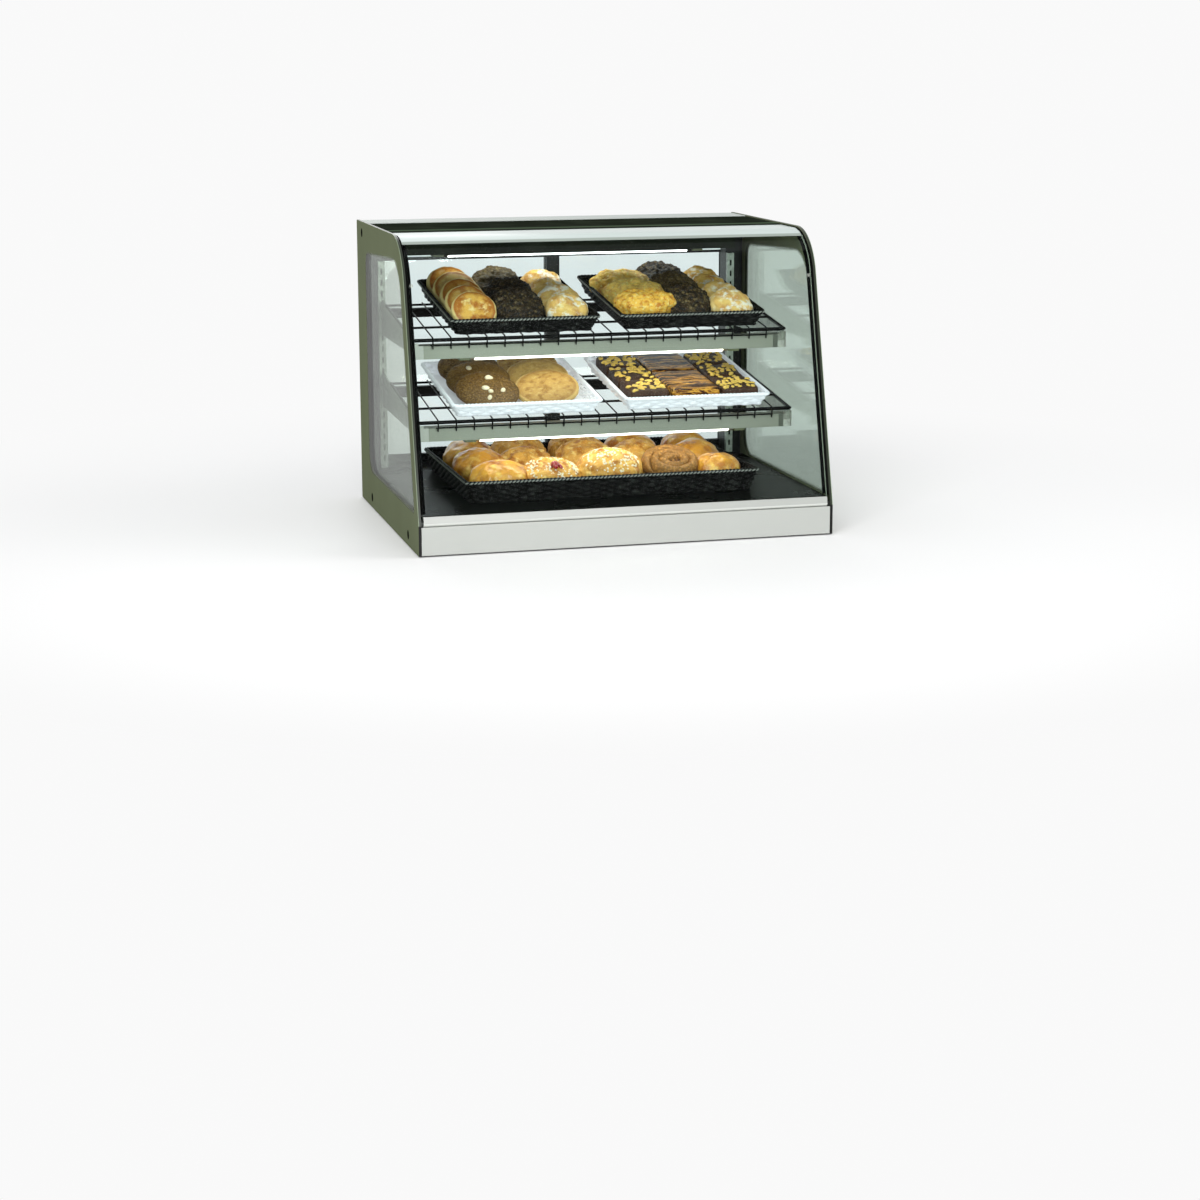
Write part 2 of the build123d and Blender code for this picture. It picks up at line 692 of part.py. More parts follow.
with BuildPart() as glazing_channel:
    channel_top = rail_top_edge + strip_above_rail
    channel = lean_quad(strip_outer, strip_inner, glass_foot_edge - glazing_strip, channel_top)
    glass_seat = lean_quad(glass_inset, glass_inset + glass_thickness, glass_foot_edge,
                           channel_top + cut_over)
    extrude(polygon_section(Plane.YZ.offset(-rail_half), channel), amount=2 * rail_half)
    extrude(polygon_section(Plane.YZ.offset(-rail_half), glass_seat), amount=2 * rail_half,
            mode=Mode.SUBTRACT)
keep(glazing_channel, "glazing_channel")

pin_inner = rail_half - pin_in_rail
pin_outer = inner_half - seat_gap
with BuildPart() as pivot_pins:
    for side in (-1, 1):
        pin_x = side * (pin_inner + pin_outer) / 2
        with Locations(Location((pin_x, back(pivot_depth), pivot_height), (0, 90, 0))):
            Cylinder(pivot_radius, pin_outer - pin_inner)
keep(pivot_pins, "pivot_pins")

bracket_foot = fascia_height + 0.1
with BuildPart() as pivot_brackets:
    bracket_in = inner_half - seat_gap - pivot_bearing
    for side in (-1, 1):
        plane = Plane.YZ.offset(bracket_in if side > 0 else -bracket_in - pivot_bearing)
        with BuildSketch(plane):
            with Locations((back(pivot_depth), pivot_height)):
                Circle(bracket_radius)
            with Locations((back(pivot_depth), (bracket_foot + pivot_height) / 2)):
                Rectangle(2 * bracket_radius, pivot_height - bracket_foot)
            with Locations((back(pivot_depth), pivot_height)):
                Circle(pivot_radius + hinge_play, mode=Mode.SUBTRACT)
        extrude(amount=pivot_bearing)
keep(pivot_brackets, "pivot_brackets")

with BuildPart() as glass_bumpers:
    start_point = bend_points(glass_inset)[0]
    outward = Plane(origin=(0, start_point[0], start_point[1]), x_dir=(1, 0, 0),
                    z_dir=(0, -math.cos(lean), math.sin(lean)))
    with BuildSketch(outward):
        bumper_x = glass_half - bumper_margin
        with Locations((-bumper_x, -bumper_margin), (bumper_x, -bumper_margin)):
            Circle(bumper_radius)
    extrude(amount=bumper_height)
    fillet(glass_bumpers.edges().filter_by(GeomType.CIRCLE).group_by(Axis.Y)[0], radius=1.2)
keep(glass_bumpers, "glass_bumpers")

# Black seals on the side panes: one leg beside the glass edge, one lip behind it.
with BuildPart() as edge_seal:
    lip_outer = glass_inset + glass_thickness + seat_gap
    lip_inner = lip_outer + seal_lip_thickness
    seal_foot = rail_top_edge + seal_above_rail
    extrude(bent_sheet_section(inner_half - seal_width, strip_outer, lip_inner, seal_foot,
                               glass_top_depth), amount=seal_width)
    extrude(bent_sheet_section(inner_half - seal_lip_width, lip_outer, lip_inner, seal_foot,
                               glass_top_depth - trim_tongue), amount=seal_lip_width)
keep_pair(edge_seal, "edge_seal")

# ======================= shelves =======================
thin_count = 2 * int(rack_width / 2 / thin_wire_pitch)
thin_lift = frame_wire + thin_wire - weld


def build_rack(wire_depth, wire_height):
    """A welded wire rack with its front edge turned down."""
    cross_pitch = rack_length / cross_wires
    side_x = rack_width / 2 - side_wire
    hook_front = front_wire + thin_wire - weld
    with BuildPart() as thin_one:
        with BuildLine(Plane.YZ) as route:
            FilletPolyline((rack_length + frame_wire, thin_lift), (-hook_front, thin_lift),
                           (-hook_front, -hook_drop), radius=hook_bend)
        with BuildSketch(Plane(origin=route.line @ 0, z_dir=route.line % 0)):
            Circle(thin_wire)
        sweep()
    with BuildPart() as rack:
        with Locations((0, 0, frame_wire - front_wire)):
            Cylinder(front_wire, 2 * side_x, rotation=(0, 90, 0))
        for row in range(1, cross_wires + 1):
            with Locations((0, row * cross_pitch, 0)):
                Cylinder(frame_wire, 2 * side_x, rotation=(0, 90, 0))
        with Locations((-side_x, rack_length / 2, 0), (side_x, rack_length / 2, 0)):
            Cylinder(side_wire, rack_length + 2 * side_wire, rotation=(90, 0, 0))
        with GridLocations(thin_wire_pitch, 0, thin_count, 1):
            add(thin_one.part)
        with Locations((0, 2 * thin_wire - hook_front - weld, -low_front_wire_drop)):
            Cylinder(thin_wire, thin_wire_pitch * (thin_count - 1) + 8, rotation=(0, 90, 0))
    with BuildPart() as placed_rack:
        with Locations(shelf_plane(wire_depth, wire_height).location):
            add(rack.part)
    return placed_rack


def build_arm(wire_depth, wire_height, rail_front, rail_top):
    """Right-hand bracket: a tapered plate with two hooks in the standard."""
    top_gap = side_wire + seat_gap
    front = rail_front + arm_behind_rail
    rear = post_front - standard_depth
    front_top = rack_height_at(wire_depth, wire_height, front) - top_gap
    rear_top = rack_height_at(wire_depth, wire_height, rear) - top_gap
    with BuildPart() as arm:
        extrude(polygon_section(
            Plane.YZ.offset(standard_x - arm_thickness / 2),
            [(back(front), front_top), (back(rear), rear_top),
             (back(rear), rear_top - arm_rear_height),
             (back(rear - arm_foot_length), rear_top - arm_rear_height),
             (back(front + arm_nose_length), front_top - arm_front_height - 6),
             (back(front), front_top - arm_front_height)]), amount=arm_thickness)
        # hooks that enter the slots nearest to the arm's top and bottom
        middle = (standard_top + standard_bottom) / 2
        for target in (rear_top - hook_below_arm, rear_top - arm_rear_height + hook_below_arm):
            step = round((target - middle) / slot_pitch - (slot_count - 1) / 2 % 1)
            slot_z = middle + (step + (slot_count - 1) / 2 % 1) * slot_pitch
            block(standard_x - arm_thickness / 2, standard_x + arm_thickness / 2,
                  rear, rear + hook_reach, slot_z - hook_height / 2, slot_z + hook_height / 2)
    return arm


def build_light_rail(rail_front, rail_top):
    """Open-bottomed channel that shades a lamp."""
    rail_bottom = rail_top - rail_height
    half = rail_length / 2
    plate_half = standard_x - arm_thickness / 2
    with BuildPart() as rail:
        block(-half, half, rail_front, rail_front + sheet, rail_bottom, rail_top)
        block(-plate_half, plate_half, rail_front + arm_behind_rail, rail_front + rail_depth,
              rail_top - sheet, rail_top)
        block(-half, half, rail_front, rail_front + 4.0, rail_top - sheet, rail_top)
        block(-half, half, rail_front + rail_depth - sheet, rail_front + rail_depth,
              rail_top - rail_lip, rail_top)
        fillet(rail.edges().filter_by(Axis.X).group_by(Axis.Y)[0].sort_by(Axis.Z)[-1], radius=1.0)
    return rail


def build_lamp_set(rail_front, rail_top):
    """Lamp tube, its two holders, and the end blocks and clear caps of one rail."""
    lamp_depth = rail_front + rail_depth / 2
    lamp_height = rail_top - rail_height - lamp_drop + lamp_radius
    cover = rail_top - sheet - seat_gap
    block_front = rail_front + sheet + seat_gap
    block_rear = rail_front + rail_depth - sheet - seat_gap
    with BuildPart() as lamp:
        with Locations(Location((0, back(lamp_depth), lamp_height), (0, 90, 0))):
            Cylinder(lamp_radius, lamp_length)
            Cylinder(lamp_radius - 9.0, lamp_length + 12.0)
        rims = lamp.edges().filter_by(GeomType.CIRCLE).filter_by(lambda e: e.radius > 10)
        fillet(rims, radius=1.5)
    with BuildPart() as holders:
        for side in (-1, 1):
            near = side * (lamp_length / 2 + seat_gap)
            far = side * (lamp_length / 2 + lampholder_length)
            block(near, far, block_front, block_rear, lamp_height - lamp_radius + 2, cover)
            with Locations(Location((near, back(lamp_depth), lamp_height), (0, 90, 0))):
                Cylinder(lamp_radius - 9.0 + seat_gap, 2 * 8.0, mode=Mode.SUBTRACT)
    with BuildPart() as caps:
        half = rail_length / 2
        arm_clear = end_cap_wall + seat_gap
        for side in (-1, 1):
            x_in = side * (half + seat_gap)
            x_mid = side * (half + seat_gap + end_block_length)
            x_out = side * (half + seat_gap + end_block_length + end_cap_length)
            low, high = rail_top - rail_height, rail_top + 6.0
            block(x_in, x_mid, rail_front, rail_front + arm_clear, low, rail_top)
            block(x_mid, x_out, rail_front, rail_front + end_cap_wall, low, high)
            block(x_out - side * end_cap_wall, x_out, rail_front, rail_front + rail_depth, low, high)
    return lamp, holders, caps


def build_rear_bar(wire_depth, wire_height):
    """Angle between the two arms, under the rack's rear edge."""
    depth = wire_depth + (rack_length - 12.0) * math.cos(tilt)
    top = rack_height_at(wire_depth, wire_height, depth) - frame_wire - 0.4
    half = standard_x - arm_thickness / 2
    with BuildPart() as bar:
        block(-half, half, depth - rear_bar_size / 2, depth + rear_bar_size / 2 - 1,
              top - rear_bar_wall - 1.2, top - 1.2)
        block(-half, half, depth - rear_bar_size / 2, depth - rear_bar_size / 2 + rear_bar_wall,
              top - rear_bar_size, top - 1.2)
    return bar


def basket_shell(plane, x, front, size):
    """A flared tray with an open top; plane is what it stands on."""
    width, length, height = size
    middle = (x, front + length / 2)
    with BuildPart() as basket:
        for lift, shrink, corner in ((0.0, basket_flare, basket_foot_corner),
                                     (height, 0.0, basket_corner)):
            with BuildSketch(plane.offset(lift)):
                with Locations(middle):
                    RectangleRounded(width - 2 * shrink, length - 2 * shrink, corner)
        loft()
        for lift, shrink, corner in ((basket_wall, basket_flare - 1.0, basket_foot_corner),
                                     (height + 1.0, -0.3, basket_corner)):
            inset = shrink + basket_wall
            with BuildSketch(plane.offset(lift)):
                with Locations(middle):
                    RectangleRounded(width - 2 * inset, length - 2 * inset,
                                     corner - basket_wall)
        loft(mode=Mode.SUBTRACT)
    return basket


def leaning_rounds(plane, x, first, size, slope, pitch, count):
    """A row of round breads leaning back on each other."""
    radius, thickness, edge = size
    angle = math.radians(slope)
    rise = (radius - edge) * math.sin(angle) + (thickness / 2 - edge) * math.cos(angle) + edge
    for index in range(count):
        place = Location((x, first + index * pitch, basket_wall + seat_gap + rise), (slope, 0, 0))
        with Locations(plane.location * place):
            Cylinder(radius, thickness)


all_holders = []
all_caps = []
for level, wire_depth, wire_height in (("upper", upper_wire_depth, upper_wire_height),
                                       ("middle", lower_wire_depth, lower_wire_height)):
    rail_front = wire_depth + rack_before_rail
    rail_top = wire_height - rack_above_rail
    keep(build_rack(wire_depth, wire_height), f"{level}_wire_rack")
    right_arm = build_arm(wire_depth, wire_height, rail_front, rail_top)
    with BuildPart() as arms:
        add(right_arm.part)
        mirror(right_arm.part, about=Plane.YZ)
    keep(arms, f"{level}_shelf_brackets")
    keep(build_rear_bar(wire_depth, wire_height), f"{level}_rear_bar")
    keep(build_light_rail(rail_front, rail_top), f"{level}_light_rail")
    lamp, holders, caps = build_lamp_set(rail_front, rail_top)
    keep(lamp, f"{level}_lamp")
    all_holders.append(holders.part)
    all_caps.append(caps.part)

canopy_rail_depth = case_depth - canopy_rail_reach
canopy_top = case_height - canopy_rail_drop + rail_height
keep(build_light_rail(canopy_rail_depth, canopy_top), "canopy_light_rail")
lamp, holders, caps = build_lamp_set(canopy_rail_depth, canopy_top)
keep(lamp, "canopy_lamp")
all_holders.append(holders.part)
with BuildPart() as lampholders:
    add(all_holders)
keep(lampholders, "lampholders")
with BuildPart() as rail_end_caps:
    add(all_caps)
keep(rail_end_caps, "rail_end_caps")
with BuildPart() as canopy_hangers:
    for side in (-1, 1):
        x0 = side * hanger_offset
        block(x0 - hanger_width / 2, x0 + hanger_width / 2, canopy_rail_depth + 8,
              canopy_rail_depth + 8 + sheet, canopy_top, top_underside)
        block(x0 - hanger_width / 2, x0 + hanger_width / 2, canopy_rail_depth + 8,
              canopy_rail_depth + hanger_foot, canopy_top, canopy_top + sheet)
keep(canopy_hangers, "canopy_hangers")

# ======================= baskets and bread =======================
rack_lift = thin_lift + thin_wire + 0.1
upper_plane = shelf_plane(upper_wire_depth, upper_wire_height).offset(rack_lift)
middle_plane = shelf_plane(lower_wire_depth, lower_wire_height).offset(rack_lift)
deck_plane = Plane(origin=(0, 0, deck_top), x_dir=(1, 0, 0), z_dir=(0, 0, 1))
inner_flare = basket_flare + basket_wall


def first_place(size, slope):
    """Distance from the rack's front wire to the middle of a column's first bread."""
    reach = size[0] * math.cos(math.radians(slope))
    return inner_flare + reach - basket_front_gap + bread_off_basket


for name, x in zip(("left", "right"), upper_basket_places):
    keep(basket_shell(upper_plane, x, -basket_front_gap, small_basket), f"upper_{name}_basket")
    with BuildPart() as bread:
        column = roll[0] + dark_round[0] + bread_gap
        for offset in (-column, column):
            leaning_rounds(upper_plane, x + offset, first_place(roll, roll_slope), roll,
                           roll_slope, roll_pitch, roll_count)
        leaning_rounds(upper_plane, x, first_place(dark_round, roll_slope), dark_round,
                       roll_slope, dark_pitch, dark_count)
        fillet(bread.edges().filter_by(GeomType.CIRCLE), radius=roll[2])
    keep(bread, f"upper_{name}_rolls")

left_x, right_x = lower_basket_places
for name, x in zip(("left", "right"), lower_basket_places):
    keep(basket_shell(middle_plane, x, -basket_front_gap, tray_basket), f"middle_{name}_basket")

with BuildPart() as cookies:
    for side in (-1, 1):
        leaning_rounds(middle_plane, left_x + side * (cookie[0] + bread_gap),
                       first_place(cookie, cookie_slope), cookie,
                       cookie_slope, cookie_pitch, cookie_count)
    fillet(cookies.edges().filter_by(GeomType.CIRCLE), radius=cookie[2])
keep(cookies, "middle_left_cookies")

with BuildPart() as cakes:
    cake_width, cake_length, cake_height = bar_cake
    cake_middle = -basket_front_gap + tray_basket[1] / 2
    with Locations(middle_plane.location * Location(
            (right_x, cake_middle, basket_wall + seat_gap + cake_height / 2))):
        with GridLocations(cake_width + bread_gap, cake_length + bread_gap, 3, 3):
            Box(cake_width, cake_length, cake_height)
    fillet(cakes.edges().filter_by(GeomType.LINE), radius=5.0)
keep(cakes, "middle_right_bar_cakes")

keep(basket_shell(deck_plane, deck_basket_x, back(deck_basket_front), deck_basket_size),
     "deck_basket")
with BuildPart() as buns:
    bun_radius, bun_height = bun
    bun_middle = (deck_basket_x, back(deck_basket_front) + deck_basket_size[1] / 2,
                  deck_top + basket_wall + seat_gap + bun_height / 2)
    with Locations(bun_middle):
        with GridLocations(2 * bun_radius + bun_gap[0], 2 * bun_radius + bun_gap[1], 5, 3):
            Cylinder(bun_radius, bun_height)
    fillet(buns.edges().filter_by(GeomType.CIRCLE), radius=bun_rounding)
keep(buns, "deck_buns")
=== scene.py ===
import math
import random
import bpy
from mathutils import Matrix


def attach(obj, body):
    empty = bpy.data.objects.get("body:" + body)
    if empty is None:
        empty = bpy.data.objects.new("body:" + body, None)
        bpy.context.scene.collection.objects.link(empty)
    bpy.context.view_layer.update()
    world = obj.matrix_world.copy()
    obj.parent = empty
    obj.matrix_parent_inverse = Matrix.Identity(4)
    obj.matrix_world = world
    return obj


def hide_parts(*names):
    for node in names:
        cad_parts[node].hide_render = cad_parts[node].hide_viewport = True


bl_info = {
    "name": "Bakery Display Case",
    "version": (1, 0, 0),
    "blender": (4, 5, 0),
    "location": "View3D > Sidebar > Display Case",
    "description": "Dresses a curved-glass bakery display case with finishes, baskets and bread",
    "category": "Add Mesh",
}

import bpy
from mathutils import Euler, Matrix, Vector

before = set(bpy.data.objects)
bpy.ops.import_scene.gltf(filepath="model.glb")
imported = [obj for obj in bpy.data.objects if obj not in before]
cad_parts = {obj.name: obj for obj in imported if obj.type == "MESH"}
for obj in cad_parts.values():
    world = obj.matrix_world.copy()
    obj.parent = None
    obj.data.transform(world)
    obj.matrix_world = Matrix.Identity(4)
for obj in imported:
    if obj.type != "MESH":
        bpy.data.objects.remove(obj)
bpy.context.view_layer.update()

MM = 0.001

# width, length and height of the baskets, and where they stand on their shelves
SMALL_BASKET = (0.336, 0.400, 0.036)
TRAY_BASKET = (0.338, 0.372, 0.030)
DECK_BASKET = (0.663, 0.478, 0.050)
SMALL_LEFT, SMALL_RIGHT = -0.1705, 0.2085
TRAY_LEFT, TRAY_RIGHT = -0.178, 0.206
BASKET_FRONT = -0.003         # front of a rack's basket, along the rack
BASKET_FLARE = 15.0 * MM      # how far the walls lean out from floor to rim
BASKET_CORNER = 14.0 * MM

# the camera; its focal length is in pixels of a square frame of FRAME_SIZE
FRAME_SIZE = 1200.0
SENSOR_WIDTH = 36.0
CAMERA_FOCUS = 2399.0
CAMERA_PLACE = (-1.3608, -5.1722, 1.0454)
CAMERA_YAW = math.radians(15.036)
CAMERA_PITCH = math.radians(11.181)
CAMERA_ROLL = math.radians(-0.085)
CAMERA_SHIFT = (0.0, -0.06667)


def rgb(red, green, blue):
    """Linear colour of an 8-bit display colour."""
    parts = []
    for value in (red, green, blue):
        share = value / 255
        parts.append(share / 12.92 if share <= 0.04045 else ((share + 0.055) / 1.055) ** 2.4)
    return tuple(parts)


def shaded(base, share, lift=0.0):
    """A colour made darker or paler by a factor."""
    return [min(part * share + lift, 1.0) for part in base]


# ---------------------------------------------------------------- settings
def colour(name, description, value):
    return bpy.props.FloatVectorProperty(
        name=name, description=description, default=value, subtype="COLOR", size=3, min=0, max=1)


def length(name, description, value):
    return bpy.props.FloatProperty(
        name=name, description=description, default=value, subtype="DISTANCE", unit="LENGTH")


class CaseColours(bpy.types.PropertyGroup):
    """Colours of the case, its baskets and its bread."""

    border: colour("Printed border", "Border printed on the glass side panes", rgb(112, 119, 94))
    glass: colour("Glass tint", "Colour that the front glass lets through", (0.925, 0.962, 0.955))
    side_glass: colour("Side glass tint", "Colour that the side panes let through",
                       (0.745, 0.785, 0.745))
    enamel: colour("Pale enamel", "Front fascia and glass rail", rgb(172, 175, 170))
    cover: colour("Top cover", "Rear cover of the top", rgb(186, 193, 188))
    cane: colour("Dark cane", "Baskets of the upper rack and the deck", rgb(8, 8, 7))
    white_cane: colour("White cane", "Baskets of the middle rack", rgb(240, 241, 246))
    crust: colour("Golden crust", "Golden rolls of the upper rack", rgb(240, 188, 88))
    chocolate: colour("Dark crust", "Chocolate rounds", rgb(60, 43, 23))
    cookie: colour("Brown cookie", "Cookies with white chips", rgb(116, 88, 42))


class CaseSizes(bpy.types.PropertyGroup):
    """Sizes of the pieces that are added to the case."""

    cane: length("Cane width", "Height of one woven strand", 7.4 * MM)
    cane_depth: length("Cane depth", "Thickness of one woven strand", 3.0 * MM)
    stake_pitch: length("Stake pitch", "Distance between a basket's upright canes", 19.0 * MM)
    roll: length("Roll radius", "Radius of the golden rolls; the sugared ones are smaller", 51.0 * MM)
    dark_round: length("Dark round radius", "Radius of the chocolate rounds", 60.0 * MM)
    cookie: length("Cookie radius", "Radius of the cookies", 71.0 * MM)


# ---------------------------------------------------------------- shader tools
class Wire:
    """A shader socket. Arithmetic on it adds Math nodes to its material."""

    def __init__(self, paint, socket):
        self.paint = paint
        self.socket = socket

    def math(self, operation, *values):
        return self.paint.node("Math", values, operation=operation)

    def __add__(self, other):
        return self.math("ADD", self, other)

    def __radd__(self, other):
        return self.math("ADD", other, self)

    def __sub__(self, other):
        return self.math("SUBTRACT", self, other)

    def __rsub__(self, other):
        return self.math("SUBTRACT", other, self)

    def __mul__(self, other):
        return self.math("MULTIPLY", self, other)

    def __rmul__(self, other):
        return self.math("MULTIPLY", other, self)

    def __abs__(self):
        return self.math("ABSOLUTE", self)

    def least(self, other):
        return self.math("MINIMUM", self, other)

    def most(self, other):
        return self.math("MAXIMUM", self, other)

    def root(self):
        return self.math("SQRT", self)

    def step(self, low, high, start=0.0, end=1.0):
        """A smooth step between two values."""
        return self.paint.node(
            "MapRange", {0: self, 1: low, 2: high, 3: start, 4: end},
            interpolation_type="SMOOTHSTEP")

    def beyond(self, place, soft, start=0.0, end=1.0):
        """A step at one place, with a soft edge on both sides of it."""
        return self.step(place - soft, place + soft, start, end)


class Paint:
    """Builds the nodes of one material, or of the world."""

    def __init__(self, name, world=None):
        self.block = world or bpy.data.materials.new(name)
        self.block.use_nodes = True
        self.tree = self.block.node_tree
        self.tree.nodes.clear()
        kind = "ShaderNodeOutputWorld" if world else "ShaderNodeOutputMaterial"
        self.output = self.tree.nodes.new(kind)

    def node(self, kind, inputs=(), out=0, **settings):
        """Add a node, with its settings first and its sockets' values or links after."""
        made = self.tree.nodes.new("ShaderNode" + kind)
        stops = settings.pop("stops", None)
        for key, value in settings.items():
            setattr(made, key, value)
        if stops:
            while len(made.color_ramp.elements) < len(stops):
                made.color_ramp.elements.new(0.5)
            for element, (position, shade) in zip(made.color_ramp.elements, stops):
                element.position = position
                element.color = tuple(shade) + (1.0,)
        pairs = inputs.items() if isinstance(inputs, dict) else enumerate(inputs)
        for key, value in pairs:
            self.feed(made.inputs[key], value)
        return Wire(self, made.outputs[out])

    def feed(self, socket, value):
        if isinstance(value, Wire):
            self.tree.links.new(value.socket, socket)
        elif socket.type == "RGBA" and len(value) == 3:
            socket.default_value = tuple(value) + (1.0,)
        else:
            socket.default_value = value

    def place(self):
        return self.node("TexCoord", out=3)

    def axes(self, names):
        """The named ones of X, Y and Z of the surface point, in metres."""
        split = self.node("SeparateXYZ", {0: self.place()}).socket.node
        return [Wire(self, split.outputs[name]) for name in names]

    def sideways(self):
        """How far the surface faces left or right, from 0 to 1."""
        return abs(self.node("SeparateXYZ", {0: self.node("NewGeometry", out=1)}))

    def stretched(self, *scale):
        return self.node("Mapping", {0: self.place(), "Scale": scale})

    def noise(self, scale, detail=3.0, rough=0.5, where=None, twist=0.0):
        return self.node("TexNoise", {
            "Vector": where or self.place(), "Scale": scale, "Detail": detail,
            "Roughness": rough, "Distortion": twist})

    def cells(self, scale, out=0):
        return self.node("TexVoronoi", {"Vector": self.place(), "Scale": scale}, out=out)

    def mix(self, share, first, second):
        return self.node("Mix", {0: share, 6: first, 7: second}, out=2, data_type="RGBA")

    def bump(self, height, depth):
        return self.node("Bump", {"Height": height, "Distance": depth, "Strength": 1.0})

    def solid(self, base, rough, normal=None, metal=0.0, coat=0.0, glow=None, glow_strength=0.0,
              coat_rough=0.06, specular=0.5):
        """A Principled shader."""
        sockets = {"Base Color": base, "Roughness": rough, "Metallic": metal,
                   "Coat Weight": coat, "Coat Roughness": coat_rough,
                   "Specular IOR Level": specular}
        if normal:
            sockets["Normal"] = normal
        if glow is not None:
            sockets["Emission Color"] = glow
            sockets["Emission Strength"] = glow_strength
        return self.node("BsdfPrincipled", sockets)

    def clear(self, tint, rough=0.02, shine=1.0):
        """Thin clear sheet: what is behind it, and a mirror image by angle."""
        behind = self.node("BsdfTransparent", {"Color": tint})
        mirror = self.node("BsdfGlossy", {"Color": (1.0, 1.0, 1.0), "Roughness": rough})
        share = self.node("Fresnel", {"IOR": 1.5})
        return self.blend(share * shine, behind, mirror)

    def ray(self, kind):
        """1 for the rays of one kind, such as Camera, and 0 for the others."""
        return self.node("LightPath", out="Is %s Ray" % kind)

    def baked(self, name):
        """A value that a bread or a basket carries on its surface."""
        return self.node("Attribute", out=2, attribute_name=name)

    def blend(self, share, first, second):
        return self.node("MixShader", {0: share, 1: first, 2: second})

    def done(self, shader):
        self.tree.links.new(shader.socket, self.output.inputs["Surface"])
        return self.block


# ---------------------------------------------------------------- finishes of the case
# where finishes change on the case; places are in metres
WINDOW_REAR = 0.2435          # Y where the side panes' clear window ends
WINDOW_FLOOR = 0.083
WINDOW_TOP = 0.594
BORDER_WIDTH = 0.037
NOSE = 0.066                  # height of the upright front below the lean
LEAN = math.radians(14.6)     # how far the front leans back
PANE_INNER = 0.4512           # X of a side pane's two faces
PANE_OUTER = 0.4572
REFLECTION_FOOT = 0.634             # painted reflection, a pale strip on the bend, from here to the top
REFLECTION_TOP = 0.6395             # the painted reflection is paler above this
FRONT_Y = -0.3556
SCREWS = ((-0.2336, 0.025), (0.2144, 0.025), (0.2884, 0.627))   # Y and Z of the screw heads
SCREW_DISC = 0.0100           # radius of the black disc on each
RAIL_FOOT = 0.0695            # Z where the glass rail's rounded foot ends
TOP_LINE_FRONT, TOP_LINE_REAR = 0.007, 0.039   # Y of the paler line on the top sheet
TUBE_CAP = 0.2822             # X where a tube's metal cap starts
COATING_FOOT = 0.5812         # Z above which the top tube is coated
LIT_STRIP_REAR, LIT_STRIP_TOP = 0.3135, 0.5725             # Y and Z where the painted light low on the header's inner side ends
CLEAR_CAP = 0.4074            # X where a light rail's clear end cap starts


def corner(first, second, radius):
    """Depth inside two edges whose corner is rounded."""
    side = (radius - first).most(0.0)
    other = (radius - second).most(0.0)
    return radius - (side * side + other * other).root() + first.least(second).least(0.0)


def side_pane_finish(colours):
    """Clear pane with a printed border, black screw discs and polished edges with a painted
    reflection along their outer corner.
    """
    paint = Paint("printed_side_glass")
    x, y, z = paint.axes("XYZ")
    face = paint.sideways().step(0.5, 0.6)
    front = (y - FRONT_Y - (z - NOSE) * math.tan(LEAN)) * math.cos(LEAN) - BORDER_WIDTH
    rear = WINDOW_REAR - y
    floor = z - WINDOW_FLOOR
    top = WINDOW_TOP + (0.10 - y) * 0.045 - z
    inside = corner(front, top, 0.075)
    for depth in (corner(front, floor, 0.016), corner(rear, floor, 0.050),
                  corner(rear, top, 0.030)):
        inside = inside.least(depth)
    printed = inside.step(-0.004, 0.009, 1.0, 0.0)
    cloud = paint.noise(9.0, 2.0)
    inner_side = (abs(x) - PANE_INNER).step(0.0004, 0.0010, 1.0, 0.0)
    near_front = front.step(-0.037, -0.008, 1.0, 0.0) * inner_side
    olive = paint.mix(cloud, colours.border, shaded(colours.border, 0.86))
    olive = paint.mix(near_front * 0.9, olive, rgb(26, 30, 24))
    ink = paint.solid(olive, 0.34 + cloud * 0.08, specular=0.0)
    pane = paint.blend(printed, paint.clear(colours.side_glass, shine=0.35), ink)
    for screw_y, screw_z in SCREWS:
        away = ((y - screw_y) * (y - screw_y) + (z - screw_z) * (z - screw_z)).root()
        head = paint.solid(rgb(9, 9, 8), 0.40 + cloud * 0.06, specular=0.0)
        pane = paint.blend(away.beyond(SCREW_DISC, 0.0004, 1.0, 0.0), pane, head)
    foot = z.beyond(NOSE, 0.001, 1.0, 0.0) * (y - FRONT_Y).beyond(0.002, 0.001, 1.0, 0.0)
    # Painted reflection: a pale line along the outer corner of the edge, darker inside it.
    bevel = (abs(x) - PANE_OUTER).step(-0.0016, -0.0006)
    polished = paint.mix(bevel, rgb(40, 46, 36), rgb(126, 140, 116))
    edge_colour = paint.mix(foot, polished, rgb(10, 10, 10))
    edge = paint.solid(edge_colour, 0.22 + cloud * 0.06, specular=0.25)
    return paint.done(paint.blend(face, edge, pane))


def front_glass_finish(colours):
    """Clear bent glass with a painted reflection, a pale strip along its top, and greenish ends."""
    paint = Paint("bent_glass")
    z = paint.axes("Z")[0]
    end = paint.sideways().step(0.6, 0.7)
    cloud = paint.noise(5.0, 1.0)
    shine = z.step(0.54, 0.60, 0.045, 0.015)
    pane = paint.clear(colours.glass, shine=shine)
    # Painted reflection: a pale strip over the bend, paler towards the top.
    reflection_colour = paint.mix(z.beyond(REFLECTION_TOP, 0.001), rgb(146, 156, 148), rgb(190, 201, 197))
    painted_reflection = paint.solid(reflection_colour, 0.20 + cloud * 0.06, specular=0.2)
    pane = paint.blend(z.step(REFLECTION_FOOT, REFLECTION_FOOT + 0.001), pane, painted_reflection)
    edge = paint.solid(paint.mix(cloud, rgb(190, 204, 184), rgb(160, 176, 156)),
                       0.10 + cloud * 0.05, coat=0.4)
    return paint.done(paint.blend(end, pane, edge))


